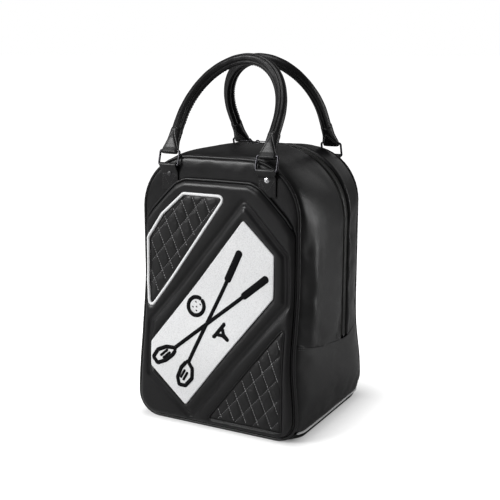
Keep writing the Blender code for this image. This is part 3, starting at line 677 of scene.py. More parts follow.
def sweep(name, path, section, material, closed=False, across=None, sides=20):
    """A solid rod along a path; section(angle, share) gives its radius."""
    path = np.asarray(path, float)
    first, second = frames_along(path, closed, across)[1:]
    angle = np.linspace(0.0, 2 * math.pi, sides, endpoint=False)
    share = np.linspace(0.0, 1.0, len(path))
    radius = section(angle[None, :], share[:, None])
    radius = np.broadcast_to(radius, (len(path), sides))[..., None]
    grid = (path[:, None] + radius * np.cos(angle)[None, :, None] * first[:, None]
            + radius * np.sin(angle)[None, :, None] * second[:, None])
    faces = grid_faces(len(path), sides, closed=True).tolist()
    points = grid.reshape(-1, 3)
    last = (len(path) - 1) * sides
    if closed:
        faces += [[last + k, last + (k + 1) % sides, (k + 1) % sides, k] for k in range(sides)]
    else:
        points = np.concatenate((points, path[:1], path[-1:]))
        start, end = len(points) - 2, len(points) - 1
        faces += [[(k + 1) % sides, k, start] for k in range(sides)]
        faces += [[last + k, last + (k + 1) % sides, end] for k in range(sides)]
    return new_solid(name, points, faces, material)


def new_solid(name, points, faces, material):
    """A closed piece, with its faces looking outwards."""
    piece = new_piece(name, points, faces, material)
    if signed_volume(piece.data) < 0.0:
        piece.data.flip_normals()
    return piece


def signed_volume(mesh):
    """Six times the volume that a mesh encloses, negative if its faces look inwards."""
    mesh.calc_loop_triangles()
    corners = np.zeros(len(mesh.loop_triangles) * 3, int)
    mesh.loop_triangles.foreach_get("vertices", corners)
    places = np.zeros(len(mesh.vertices) * 3)
    mesh.vertices.foreach_get("co", places)
    a, b, c = places.reshape(-1, 3)[corners.reshape(-1, 3)].transpose(1, 0, 2)
    return float(np.einsum("ij,ij->i", a, np.cross(b, c)).sum())


def rod(radius):
    return lambda angle, share: radius + 0.0 * angle + 0.0 * share


def cord_section(radius, end=0.02):
    """A rod whose two ends are domed."""
    def section(angle, share):
        tip = np.clip(np.minimum(share, 1.0 - share) / end, 0.0, 1.0)
        return radius * np.sqrt(1.0 - (1.0 - tip) ** 2) + 0.0 * angle
    return section


STITCH_SINK = 0.35  # how much of a stitch lies below the leather


def sewing_line(points, outward):
    """Points of a sewn line with one outward direction for all of them."""
    return points, np.tile(outward, (len(points), 1))


def stitches(name, lines, material, length=0.0026, space=0.0011, radius=0.00034):
    """Rows of sewing stitches; each line is (points, outward directions)."""
    rings = np.array(((-0.5, 0.25), (-0.40, 0.8), (0.0, 1.0), (0.40, 0.8), (0.5, 0.25)))
    angle = np.linspace(0.0, 2 * math.pi, 6, endpoint=False)
    all_points, all_faces, start = [], [], 0
    faces = grid_faces(len(rings), len(angle), closed=True)
    caps = np.array([[0, 1, 2, 3], [0, 3, 4, 5]])
    caps = np.concatenate((caps[:, ::-1], caps + (len(rings) - 1) * len(angle)))
    faces = np.concatenate((faces, caps))
    for points, outward in lines:
        lengths = np.linalg.norm(np.diff(points, axis=0), axis=1)
        along = np.concatenate(([0.0], np.cumsum(lengths)))
        pitch = length + space
        for number in range(int(along[-1] / pitch)):
            places = np.array((number * pitch, number * pitch + length))
            ends = np.stack([np.interp(places, along, points[:, k]) for k in range(3)], axis=-1)
            up = np.array([np.interp(places.mean(), along, outward[:, k]) for k in range(3)])
            run = ends[1] - ends[0]
            size = np.linalg.norm(run)
            if size < 1e-6:
                continue
            run = run / size
            up = up - run * (up @ run)
            up /= np.linalg.norm(up)
            side = np.cross(run, up)
            centre = ends.mean(0) + up * radius * (1.0 - 2 * STITCH_SINK)
            ring = (rings[:, 1, None, None] * radius
                    * (np.cos(angle)[None, :, None] * side + np.sin(angle)[None, :, None] * up))
            body = centre + ring + rings[:, 0, None, None] * size * run
            arc = (0.25 - rings[:, 0] ** 2)[:, None, None] * radius * 1.6 * up
            all_points.append((body + arc).reshape(-1, 3))
            all_faces.append(faces + start)
            start += len(rings) * len(angle)
    return new_piece(name, np.concatenate(all_points), np.concatenate(all_faces), material)


def ridden(piece, body, nodes=()):
    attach(piece, body)
    if nodes:
        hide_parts(*nodes)
    return piece


# Front of the bag

PANEL_OUTLINE = panel_edge(EDGE - 0.0010, 0.0022)
BADGE_OUTLINE = rounded(BADGE, 0.0035, 0.0014)
UPPER_OUTLINE = rounded(UPPER_QUILT, 0.0040, 0.0014)
LOWER_OUTLINE = rounded(LOWER_QUILT, 0.0030, 0.0014)
GROOVE_OUTLINE = rounded(FRAME_GROOVE, 0.0060, 0.0025)


def overlay_outline():
    """The moulded pad's outline: the panel's own sides and foot, and slanting shoulders."""
    edge = panel_edge(0.0058, 0.0022)
    right = edge[(edge[:, 0] >= 0.0) & (edge[:, 1] < OVERLAY_SHOULDER[0][1] - 0.004)]
    shoulder = rounded(((right[-1][0], right[-1][1]),) + OVERLAY_SHOULDER + ((0.0, 0.3300),), 0.018,
                       0.0022, closed=False)
    right = np.concatenate((right[:-1], shoulder))
    left = right[1:-1][::-1] * (-1.0, 1.0)
    return resample(np.concatenate((right, left)), 0.0022, True)


OVERLAY_OUTLINE = overlay_outline()
TOP_LINE = 0.0013  # how far the padded front panel swells between its piping and the moulded pad


def panel_lift(points):
    """The front panel's swell, which is pressed flat under the two tabs."""
    edge = distance(points, PANEL_OUTLINE)
    over = np.maximum(signed(points, OVERLAY_OUTLINE), 0.0)
    room = edge + over
    share = edge / np.maximum(room, 1e-6)
    swell = np.minimum(TOP_LINE, 0.30 * room) * np.clip(4 * share * (1 - share), 0.0, 1.0)
    pressed = 1.0 - 0.92 * dip(np.abs(np.abs(points[:, 0]) - HANDLE_X), 0.0175)
    tuck = 0.0016 * np.exp(-edge / 0.0015)
    return swell * pressed - tuck + 0.00005 * ripple(points, 0.06, 3)


def round_edge(gap, radius):
    return np.sqrt(1.0 - (1.0 - np.clip(gap / radius, 0.0, 1.0)) ** 2)


def overlay_relief(points):
    """The moulded pad's form inside its edge: a raised frame round the badge and a full outer field."""
    edge = distance(points, OVERLAY_OUTLINE)
    groove = signed(points, GROOVE_OUTLINE)
    badge = signed(points, BADGE_OUTLINE)
    upper = signed(points, UPPER_OUTLINE)
    lower = signed(points, LOWER_OUTLINE)
    field = np.minimum(np.maximum(groove, 0.0), np.maximum(np.minimum(upper, lower), 0.0))
    lift = 0.0026 * (1.0 - np.exp(-field / 0.0070)) * round_edge(edge, 0.012)
    into = np.maximum(-groove - 0.0052, 0.0)
    outside = np.maximum(badge, 0.0)
    share = into / np.maximum(into + outside, 1e-6)
    lift += 0.0026 * np.clip(4 * share * (1 - share), 0.0, 1.0) ** 0.45
    lift -= 0.0028 * dip(groove, 0.0014)
    lift -= 0.0019 * dip(groove + 0.0052, 0.0011)
    lift -= 0.0022 * dip(outside, 0.0020)
    for quilt in (upper, lower):
        lift -= 0.0024 * dip(np.maximum(quilt, 0.0), 0.0028)
    return lift


RELIEF_CELL = 0.0010
RELIEF_SOFTENING = 2


def relief_table():
    """The relief on a square grid of (x, z), softened so that no crease is sharper than leather."""
    start = OVERLAY_OUTLINE.min(0) - 0.01
    size = np.ceil((OVERLAY_OUTLINE.max(0) + 0.01 - start) / RELIEF_CELL).astype(int)
    x, z = np.meshgrid(*[start[k] + RELIEF_CELL * np.arange(size[k]) for k in (0, 1)], indexing="ij")
    table = overlay_relief(stack(x.reshape(-1), z.reshape(-1))).reshape(x.shape)
    table = smoothed(smoothed(table, RELIEF_SOFTENING, 0, False), RELIEF_SOFTENING, 1, False)
    return start, table


def overlay_lift(points):
    """The moulded pad's height, looked up in the softened relief."""
    start, table = RELIEF
    at = (points - start) / RELIEF_CELL
    cell = np.clip(at.astype(int), 0, np.array(table.shape) - 2)
    part = at - cell
    i, k = cell[:, 0], cell[:, 1]
    near = table[i, k] * (1 - part[:, 1]) + table[i, k + 1] * part[:, 1]
    far = table[i + 1, k] * (1 - part[:, 1]) + table[i + 1, k + 1] * part[:, 1]
    edge = distance(points, OVERLAY_OUTLINE)
    lift = OVERLAY_RISE * round_edge(edge, 0.0080) + near * (1 - part[:, 0]) + far * part[:, 0]
    for outline, most in ((UPPER_OUTLINE, 0.0036), (LOWER_OUTLINE, 0.0036), (BADGE_OUTLINE, 0.0042)):
        lift = np.where(signed(points, outline) < 0.0, np.minimum(lift, most), lift)
    return lift + 0.00010 * ripple(points, 0.04, 5)


QUILT_LINES = ((math.radians(-67), 0.0168, 0.003), (math.radians(48), 0.0195, 0.006))


def quilt_gaps(points):
    """Distances to the nearest sewn line of each of the two sets."""
    for angle, pitch, start in QUILT_LINES:
        across = points @ np.array((-math.sin(angle), math.cos(angle))) - start
        yield np.abs((across + pitch / 2) % pitch - pitch / 2)


def quilt_lift(outline, base):
    """Puffed diamonds between two sets of sewn lines."""
    def lift(points):
        edge = distance(points, outline)
        puff = np.ones(len(points))
        for gap in quilt_gaps(points):
            puff *= 1.0 - fading(1.0, gap, 0.0024)
        puff *= 1.0 - np.exp(-edge / 0.0030)
        return base + 0.0021 * puff - 0.0006 * np.exp(-edge / 0.0012)
    return lift


QUILT_PRESSURE = 20.0
QUILT_HELD = 0.0017  # half the width that a sewn line holds down
QUILT_MARGIN = 0.0022  # between a sewn line's end and the edge of its inset


def sewn(outline):
    """Where a quilted inset is held down, by its edge and by its sewn lines."""
    def held(points):
        kept = distance(points, outline) < 0.0012
        for gap in quilt_gaps(points):
            kept |= gap < QUILT_HELD
        return kept
    return held


def quilt_stitching(outline, lift, wanted):
    """The sewn lines of one of the two sets inside a quilted inset."""
    angle, pitch, start = QUILT_LINES[wanted]
    along = np.array((math.cos(angle), math.sin(angle)))
    across = np.array((-math.sin(angle), math.cos(angle)))
    reach = outline @ across - start
    travel = outline @ along
    places = np.arange(travel.min(), travel.max(), 0.0012)[:, None]
    lines = []
    for number in range(math.ceil(reach.min() / pitch), math.floor(reach.max() / pitch) + 1):
        points = places * along + (start + number * pitch) * across
        points = points[signed(points, outline) < -QUILT_MARGIN]
        if len(points) >= 5:
            lines.append(sewing_line(on_front(points, lift), (0.0, -1.0, 0.0)))
    return lines


def on_front(points, lift):
    """Points of the front at a constant or computed lift."""
    out = lift(points) if callable(lift) else lift
    return stack(points[:, 0], front_y(points[:, 1]) - out, points[:, 1])


def grown(outline, reach):
    """An outline moved outwards by reach."""
    ahead = np.roll(outline, -1, axis=0) - np.roll(outline, 1, axis=0)
    normal = unit(stack(ahead[:, 1], -ahead[:, 0]))
    if (normal * (outline - outline.mean(0))).sum() < 0.0:
        normal = -normal
    return outline + normal * reach


def under_pad_or_tab(points):
    """Where the front panel can't swell: beneath the moulded pad and beneath the tabs."""
    tab = np.abs(np.abs(points[:, 0]) - HANDLE_X) < 0.0185
    return (signed(points, OVERLAY_OUTLINE) < 0.0020) | (tab & (points[:, 1] > 0.25))


RELIEF = relief_table()
ROLL_FOOT = 0.276  # height where the roll on the pad's top edge ends


def make_panel():
    panel = pad("front_panel_pad", PANEL_OUTLINE, panel_lift, PANEL_LEATHER, step=0.012, steps=(2, 3),
                held=under_pad_or_tab, pressure=1.0, cap=0.0004)
    ridden(panel, "tub", ["front_panel"])
    overlay = pad("front_overlay_pad", OVERLAY_OUTLINE, overlay_lift, LEATHER, step=0.0095)
    ridden(overlay, "tub", ["front_overlay"])


def make_quilt(name, outline, base):
    """A quilted inset and its two sets of stitched lines."""
    lift = quilt_lift(outline, base)
    quilt = pad(f"quilt_{name}", outline, lift, QUILT_LEATHER, step=0.012, thickness=0.0010,
                held=sewn(outline), steps=(1, 1), pressure=QUILT_PRESSURE, cap=0.0009)
    ridden(quilt, "tub", [f"quilted_inset_{name}"])
    sewing = stitches(f"quilt_{name}_stitching", quilt_stitching(outline, lift, 0), PALE_THREAD,
                      0.0021, 0.0012, 0.00036)
    ridden(sewing, "tub")
    sewing = stitches(f"quilt_{name}_cross_stitching", quilt_stitching(outline, lift, 1), DIM_THREAD,
                      0.0018, 0.0013, 0.00028)
    ridden(sewing, "tub")


def make_inset_edges():
    """White piping round the upper inset, a cord round the lower one and a roll on the pad's top."""
    route = on_front(grown(UPPER_OUTLINE, 0.0019), 0.0056)
    piping = sweep("inset_piping_white", route, rod(0.0020), WHITE_PIPING, closed=True)
    ridden(piping, "tub", ["inset_piping"])
    route = on_front(grown(LOWER_OUTLINE, 0.0010), 0.0046)
    ridden(sweep("lower_quilt_cord", route, rod(0.0010), LEATHER, closed=True, sides=12), "tub")
    top = OVERLAY_OUTLINE[OVERLAY_OUTLINE[:, 1] > ROLL_FOOT]
    top = top[np.argsort(top[:, 0])]
    outward = -unit(stack(np.gradient(top[:, 1]), -np.gradient(top[:, 0])))
    roll = sweep("overlay_roll", on_front(top + outward * 0.0012, 0.0024), cord_section(0.0015), LEATHER)
    ridden(roll, "tub", ["overlay_piping"])


def make_front():
    make_panel()
    make_quilt("upper", UPPER_OUTLINE, 0.0046)
    make_quilt("lower", LOWER_OUTLINE, 0.0042)
    make_inset_edges()


def badge_lift(points):
    edge = distance(points, BADGE_OUTLINE)
    return 0.0049 + 0.0013 * round_edge(edge, 0.0022) - 0.00025 * dip(edge - 0.0032, 0.0005)


def stroke(points, width):
    """A raised line of satin stitch along (x, z) points of the badge."""
    path = on_front(resample(points, 0.0008, False), lambda at: badge_lift(at) + 0.0001)
    side = np.cross(unit(np.gradient(path, axis=0)), (0.0, -1.0, 0.0))
    share = np.linspace(0.0, 1.0, len(path))
    run = np.linalg.norm(np.diff(path, axis=0), axis=1).sum()
    tip = np.clip(np.minimum(share, 1.0 - share) * run / (width / 2), 0.0, 1.0)
    half = width / 2 * np.sqrt(1.0 - (1.0 - tip) ** 2) + 0.0001
    angle = np.linspace(0.0, math.pi, 9)
    ribs = 1.0 + 0.10 * (np.arange(len(path)) % 2)
    rise = 0.0010 * ribs * half / width * 2
    return (path[:, None] + side[:, None] * (half[:, None] * np.cos(angle))[..., None]
            + np.array((0.0, -1.0, 0.0)) * rise[:, None, None] * np.sin(angle)[None, :, None])


SHAFT_WIDTH = 0.0052
CLUB_GRIP_WIDTH = 0.0098
OUTLINE_WIDTH = 0.0054
DETAIL_WIDTH = 0.0034
TEE_WIDTH = 0.0048


def motif_lines():
    """Crossed clubs, ball and tee along the badge, as (points, width)."""
    centre = np.asarray(BADGE).mean(0) + (0.0010, -0.0015)
    run = np.subtract(BADGE[0], BADGE[5])
    along = run / np.linalg.norm(run)
    across = np.array((-along[1], along[0]))

    def at(pairs):
        pairs = np.asarray(pairs, float) / 1000
        return centre + pairs[:, :1] * along + pairs[:, 1:] * across

    def ring(s, t, radius):
        angle = np.radians(np.linspace(0, 362, 40))
        return at(stack(s + radius * np.cos(angle), t + radius * np.sin(angle)))

    # Lengths here are in millimetres along and across the badge, from its middle
    wood = ((-72, -11), (-84, -10), (-99, -14), (-106, -22), (-100, -30), (-84, -31), (-73, -23), (-70, -13))
    iron = ((-72, 11), (-80, 10), (-94, 13), (-107, 20), (-105, 30), (-92, 31), (-79, 24), (-71, 14))
    lines = []
    for side, head in ((1, wood), (-1, iron)):
        lines.append((at(((-72, -side * 14), (52, side * 15))), SHAFT_WIDTH))
        lines.append((at(((50, side * 14.6), (97, side * 25))), CLUB_GRIP_WIDTH))
        shape = rounded(head, 0.5, 1.0)
        lines.append((at(np.concatenate((shape, shape[:2]))), OUTLINE_WIDTH))
    for fold in (0, 5):
        lines.append((at(((-82, -16 - fold), (-97, -18 - fold))), DETAIL_WIDTH))
        lines.append((at(((-80, 15 + fold), (-96, 18 + fold))), DETAIL_WIDTH))
    lines.append((ring(-6, 27, 12.0), OUTLINE_WIDTH))
    for s, t in ((-10, 30), (-2, 31), (-6, 26), (0, 24), (-10, 23)):
        lines.append((at(((s - 1.0, t), (s + 1.0, t))), DETAIL_WIDTH))
    lines.append((at(((-17, -16), (-16, -19), (6, -19), (7, -16))), SHAFT_WIDTH))
    for start in (-11, 1):
        lines.append((at(((start, -20), (-5 + math.copysign(1, start), -27), (-5, -38))), TEE_WIDTH))
    return lines


def make_badge():
    badge = pad("badge", BADGE_OUTLINE, badge_lift, WHITE_LEATHER, step=0.02, fine=0.03,
                thickness=0.0009)
    ridden(badge, "tub", ["badge_panel"])
    points, faces, start = [], [], 0
    for line, width in motif_lines():
        grid = stroke(line, width)
        rows, columns = grid.shape[:2]
        points.append(grid.reshape(-1, 3))
        faces.append(grid_faces(rows, columns) + start)
        start += rows * columns
    motif = new_piece("badge_motif", np.concatenate(points), np.concatenate(faces), SATIN_THREAD)
    turn_out(motif.data)
    ridden(thicken(motif, 0.0003), "tub")


# Piping, gussets, guards and base

def piping_line(surface, inward, edge):
    """A piping's centreline just inside a panel's face."""
    return stack(edge[:, 0], surface(edge[:, 1]) + inward * PIPING_RADIUS, edge[:, 1])


def piping_section(angle, share):
    """A covered cord whose flange makes a slight ridge, with gathers along it."""
    return PIPING_RADIUS * (0.98 + 0.03 * np.cos(2 * angle)) + 0.00006 * np.sin(share * 900.0)


def make_pipings():
    edge = panel_edge(PIPING_RADIUS, 0.0022)
    front = sweep("front_piping_cord", piping_line(front_y, 1, edge), piping_section, LEATHER,
                  closed=True, sides=16)
    ridden(front, "tub", ["front_piping"])
    back = sweep("back_piping_cord", piping_line(back_y, -1, edge), piping_section, LEATHER,
                 closed=True, sides=16)
    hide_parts("back_piping", "back_lower_piping")
    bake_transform(back)


def front_seam(z):
    return front_y(z) + EDGE


def back_seam(z):
    return back_y(z) - EDGE


def level(depth):
    """A surface at one depth, whatever the height."""
    return lambda z: depth + 0.0 * z


def half_outline(foot, radius, step):
    """Base points and outward directions up the right side and to the middle of the top."""
    z = np.linspace(foot, TOP_Z - radius, int((CORNER_Z - GUARD_LOW) / step), endpoint=False)
    angle = np.linspace(0.0, math.pi / 2, int(TOP_RADIUS * 2.0 / step), endpoint=False)
    x = np.linspace(HALF_WIDTH - radius, 0.0, int((HALF_WIDTH - TOP_RADIUS) / step))
    base_x = np.concatenate((side_x(z), HALF_WIDTH - radius + radius * np.cos(angle), x))
    base_z = np.concatenate((z, TOP_Z - radius + radius * np.sin(angle), 0 * x + TOP_Z))
    out = np.concatenate((1 + 0 * z, np.cos(angle), 0 * x))
    up = np.concatenate((0 * z, np.sin(angle), 1 + 0 * x))
    return base_x, base_z, out, up


def hoop(depth, foot, out_by, step=0.004):
    """A row over the bag from its right foot to its left, at depth(z) and out_by from the gusset."""
    radius = corner_radius(float(depth(np.array([TOP_Z]))[0]))
    x, z, out, up = half_outline(foot, radius, step)
    y = depth(z)
    swell = crown(y, z, out, up) + out_by
    right = stack(x + out * swell, y, z + up * swell)
    return np.concatenate((right, right[-2::-1] * (-1.0, 1.0, 1.0)))


def between(start, end, share):
    return lambda z: start(z) + (end(z) - start(z)) * share


def gusset_rows(count):
    """Shares across a gusset, closer together near its two edges."""
    t = np.linspace(0.0, 1.0, count)
    return 0.5 - 0.5 * np.cos(math.pi * t) * (0.35 + 0.65 * np.abs(np.cos(math.pi * t)) ** 0.5)


def edge_room(grid):
    """Distance across the rows to the nearer edge of a gusset, for every point."""
    return np.minimum(np.abs(grid[..., 1] - grid[:1, :, 1]), np.abs(grid[..., 1] - grid[-1:, :, 1]))


GUSSET_STEP = 0.0035
GUSSET_PRESSURE = 5.0
GUSSET_CAP = 0.0030
SEAM_HELD = 0.0030  # width of leather that a seam holds still
SIDE_FOLD = 0.0036  # the soft fold that stands up the side behind the front seam
SIDE_FOLD_AT = 0.0250
SIDE_FOLD_WIDTH = 0.0100
ZIP_SEWING = 0.0235  # from the zip's middle to the sewing line in front of it


def gusset(name, start, end, seam_first, seed, count):
    """A gusset between its seam and the folded edge beside the zip."""
    rows = []
    for share in gusset_rows(count):
        depth = between(start, end, share)
        y_low = float(depth(np.array([GUARD_LOW]))[0])
        foot = float(guard_top(np.array([y_low]))[0]) - 0.0030
        width = abs(float(end(np.array([0.2]))[0] - start(np.array([0.2]))[0]))
        from_seam = (share if seam_first else 1.0 - share) * width
        from_zip = width - from_seam
        out_by = -0.0018 * math.exp(-from_seam / 0.0016) - 0.0022 * math.exp(-from_zip / 0.0008)
        out_by += 0.0007 * math.exp(-((from_zip - 0.0034) / 0.0022) ** 2)
        out_by += 0.0010 - 0.0030 * math.exp(-from_seam / 0.0110)
        row = hoop(depth, foot, out_by, GUSSET_STEP)
        if seam_first:
            low_down = ease((row[:, 2] - 0.100) / 0.03) * (1.0 - ease((row[:, 2] - 0.19) / 0.11))
            fold = SIDE_FOLD * math.exp(-((from_seam - SIDE_FOLD_AT) / SIDE_FOLD_WIDTH) ** 2)
            row[:, 0] += np.sign(row[:, 0]) * fold * low_down
        rows.append(row)
    grid = np.stack(rows)
    flat = grid.reshape(-1, 3)
    wrinkle = ripple(flat * (1.0, 1.0, 0.55), 0.075, seed)
    outward = stack(np.sign(flat[:, 0]) * np.clip((np.abs(flat[:, 0]) - 0.05) / 0.06, 0, 1), 0.0,
                    np.clip((flat[:, 2] - CORNER_Z) / 0.06, 0, 1))
    edge = edge_room(grid).reshape(-1)
    flat = flat + unit(outward) * (0.00035 * wrinkle * ease(edge / 0.016))[:, None]
    held = edge.reshape(grid.shape[:2]) < SEAM_HELD
    held[:, :2] = held[:, -2:] = True
    held |= np.abs(grid[..., 1] - (ZIP_Y - ZIP_SEWING)) < 0.0022
    grid = swollen(flat.reshape(grid.shape), held, (2, 3), GUSSET_PRESSURE, GUSSET_CAP, spare=0.02)
    piece = sheet_of(name, grid, LEATHER)
    cut_size(grid)
    return piece


def on_lid(piece, nodes):
    """A piece of the lid: the model's own parts are hidden and the piece's placement is baked into its mesh.
    """
    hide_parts(*nodes)
    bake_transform(piece)


def cut_size(grid):
    """A sheet's width and length before sewing, measured along its grid."""
    across = np.linalg.norm(np.diff(grid, axis=0), axis=-1).sum(0).mean()
    along = np.linalg.norm(np.diff(grid, axis=1), axis=-1).sum(1).mean()
    return float(min(across, along)), float(max(across, along))


def seam_line(depth, foot, out_by=0.0):
    """A sewing line over the bag at a depth, with its outward directions."""
    row = hoop(level(depth), foot, out_by)
    return row, (hoop(level(depth), foot, out_by + 0.001) - row) / 0.001


def make_gussets():
    front = gusset("front_gusset_leather", front_seam, level(ZIP_Y - TAPE_REACH), True, 11, 34)
    ridden(front, "tub", ["front_gusset"])
    back = gusset("back_gusset_leather", level(ZIP_Y + TAPE_REACH), back_seam, False, 12, 24)
    on_lid(back, ["back_gusset"])
    ahead = seam_line(ZIP_Y - ZIP_SEWING, 0.112)
    ridden(stitches("gusset_stitching", [ahead], DARK_THREAD), "tub")
    beside = seam_line(ZIP_Y - TAPE_REACH - 0.0030, 0.116, 0.0006)
    ridden(stitches("zip_front_stitching", [beside], DARK_THREAD), "tub")


TAPE_SINK = 0.0019
TAPE_THICKNESS = 0.0008


def zip_band(name, near, far):
    """A zip tape from near to far behind the zip's middle."""
    rows = [hoop(level(ZIP_Y + reach), ZIP_FOOT, -TAPE_SINK) for reach in np.linspace(near, far, 6)]
    grid = np.stack(rows)
    piece = sheet_of(name, grid, ZIP_TAPE, TAPE_THICKNESS)
    cut_size(grid)
    return piece


def teeth(name, facing):
    """Coil teeth: a row of small rounded blocks along the parting line."""
    row = resample(hoop(level(ZIP_Y), ZIP_FOOT + 0.003, 0.0, 0.002), 0.0016, False)
    if facing > 0:
        row = (row[1:] + row[:-1]) / 2
    ahead = unit(np.gradient(row, axis=0))
    depth_way = np.array((0.0, float(facing), 0.0))
    up = np.cross(ahead, depth_way)
    up *= np.sign(((row - INTERIOR) * up).sum(1))[:, None]
    profile = np.array(((0.0001, -0.0004), (0.0001, -0.0016), (0.0028, -0.0018), (0.0034, -0.0012),
                        (0.0030, -0.0003), (0.0014, 0.0000)))
    half = 0.00058
    points, faces, start = [], [], 0
    count = len(profile)
    ring = np.arange(count)
    sides = np.stack((ring, (ring + 1) % count, (ring + 1) % count + count, ring + count), -1)
    caps = np.array(((0, 1, 2, 3), (0, 3, 4, 5)))
    block = np.concatenate((sides[:, ::-1], caps, caps[:, ::-1] + count))
    if facing < 0:
        block = block[:, ::-1]
    for place_, way, out in zip(row, ahead, up):
        body = place_ + profile[:, :1] * depth_way + profile[:, 1:] * out
        points.append(np.concatenate((body - way * half, body + way * half)))
        faces.append(block + start)
        start += 2 * count
    piece = new_solid(name, np.concatenate(points), np.concatenate(faces), ZIP_TEETH)
    piece.data.set_sharp_from_angle(angle=math.radians(40))
    return piece


def make_zip():
    for facing, place_ in ((-1, "front"), (1, "back")):
        ends = sorted((facing * 0.0020, facing * (TAPE_REACH + 0.0015)))
        tape = zip_band(f"zip_tape_{place_}_cloth", *ends)
        row = teeth(f"zip_teeth_{place_}_coil", facing)
        if facing < 0:
            ridden(tape, "tub", ["zip_tape_front"])
            ridden(row, "tub", ["zip_teeth_front"])
        else:
            on_lid(tape, ["zip_tape_back"])
            on_lid(row, ["zip_teeth_back"])


GUARD_PRESSURE = 6.0
GUARD_CAP = 0.0020
GUARD_FOOT = WHITE_PIPING_Z + 0.0012
BASE_RIM = WHITE_PIPING_Z - 0.0012
DOUBLE_SEWING = (0.0026, 0.0056)  # two sewn lines, below a seam
WALL_SHARES = np.concatenate(((0.0, 0.004, 0.010, 0.020, 0.035), np.linspace(0.055, 0.945, 46),
                              (0.965, 0.980, 0.990, 0.996, 1.0)))  # closer together at the seams
GUARD_HEIGHTS = np.concatenate((np.linspace(0.0, 0.97, 34), (0.982, 0.991, 0.996, 1.0)))


def make_guard(hand, side):
    """The leather over a side's lower half, with its upper edge in a shallow curve."""
    rows = []
    for share in WALL_SHARES:
        depth = between(front_seam, back_seam, share)
        top = float(guard_top(depth(np.array([GUARD_LOW])))[0])
        z = GUARD_FOOT + (top - GUARD_FOOT) * GUARD_HEIGHTS
        y = depth(z)
        room = np.minimum(y - front_seam(z), back_seam(z) - y)
        out = 0.0004 - fading(0.0018, room, 0.0016)
        out = out - fading(0.0006, top - z, 0.0006) - fading(0.0008, z - GUARD_FOOT, 0.0012)
        out = out + 0.0008 - fading(0.0022, room, 0.0100)
        points = wall(side, z, y, out)
        points[:, 0] += side * 0.0005 * ripple(points, 0.07, 21) * ease(room / 0.02)
        rows.append(points)
    grid = np.stack(rows)
    held = np.zeros(grid.shape[:2], bool)
    held[:4] = held[-4:] = held[:, :3] = held[:, -5:] = True
    held |= np.abs(grid[..., 2] - guard_top(grid[..., 1])) < 0.0085
    grid = swollen(grid, held, (2, 2), GUARD_PRESSURE, GUARD_CAP, spare=0.01)
    guard = sheet_of(f"side_guard_{hand}_leather", grid, LEATHER)
    cut_size(grid)
    ridden(guard, "tub", [f"side_guard_{hand}"])


def make_guard_sewing(hand, side):
    lines = []
    for under in DOUBLE_SEWING:
        shares = np.linspace(0.012, 0.988, 120)
        y = between(front_seam, back_seam, shares)(np.full(120, 0.11))
        z = guard_top(y) - under
        line = wall(side, z, y, 0.00045)
        lines.append((line, (wall(side, z, y, 0.00145) - line) / 0.001))
    ridden(stitches(f"side_guard_{hand}_stitching", lines, DARK_THREAD, 0.0030), "tub")


def make_base_piping(hand, side):
    shares = np.linspace(0.012, 0.988, 90)
    y = between(front_seam, back_seam, shares)(np.full(90, WHITE_PIPING_Z))
    route = wall(side, np.full(90, WHITE_PIPING_Z), y, 0.0002)
    piping = sweep(f"base_piping_{hand}_cord", route, cord_section(0.0015, 0.006), WHITE_PIPING, sides=14)
    ridden(piping, "tub", [f"base_piping_{hand}"])


def make_base():
    """The tray: down one side, under the bag and up the other."""
    heights = BASE_RIM * (1.0 - np.sin(np.linspace(0.0, math.pi / 2, 14)))
    rows = []
    for share in WALL_SHARES:
        right = wall(1, heights, between(front_seam, back_seam, share)(heights))
        across = np.linspace(right[-1][0], -right[-1][0], 40)[1:-1]
        flat = stack(across, right[-1][1], 0.0)
        rows.append(np.concatenate((right, flat, right[::-1] * (-1.0, 1.0, 1.0))))
    base = sheet_of("base_tray_leather", np.stack(rows), BASE_LEATHER)
    ridden(base, "tub", ["base_tray"])


def make_lower_body():
    for hand, side in HANDS.items():
        make_guard(hand, side)
        make_guard_sewing(hand, side)
        make_base_piping(hand, side)
    make_base()


# Back of the bag

BACK_OUTLINE = panel_edge(EDGE - 0.0010, 0.0026)


def back_lift(points):
    """A lightly padded back with a sewn seam across it at the fold."""
    edge = distance(points, BACK_OUTLINE)
    seam = points[:, 1] - FOLD_Z
    lift = 0.0024 * round_edge(edge, 0.030) - 0.0016 * np.exp(-edge / 0.0015)
    lift -= 0.0011 * dip(seam, 0.0010)
    lift += 0.0006 * np.where(seam < 0.0, np.exp(seam / 0.0040), 0.0)
    return lift + 0.00025 * ripple(points, 0.06, 31) * ease(edge / 0.02)


BACK_SEAM_HALF = 0.112


def on_back(points, lift):
    return stack(points[:, 0], back_y(points[:, 1]) + lift(points), points[:, 1])


def make_back():
    cover = pad("back_cover", BACK_OUTLINE, back_lift, LEATHER, back_y, 1, step=0.010, steps=(2, 3),
                held=lambda at: np.abs(at[:, 1] - FOLD_Z) < 0.004, pressure=6.0, cap=0.0030)
    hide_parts("back_panel", "back_lower_panel")
    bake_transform(cover)
    x = np.linspace(-BACK_SEAM_HALF, BACK_SEAM_HALF, 220)
    lines = [sewing_line(on_back(stack(x, FOLD_Z - under), back_lift), (0.0, 1.0, 0.0))
             for under in DOUBLE_SEWING]
    sewing = stitches("back_stitching", lines, DARK_THREAD, 0.0030)
    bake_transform(sewing)


# Tabs, rivets, rings and handles

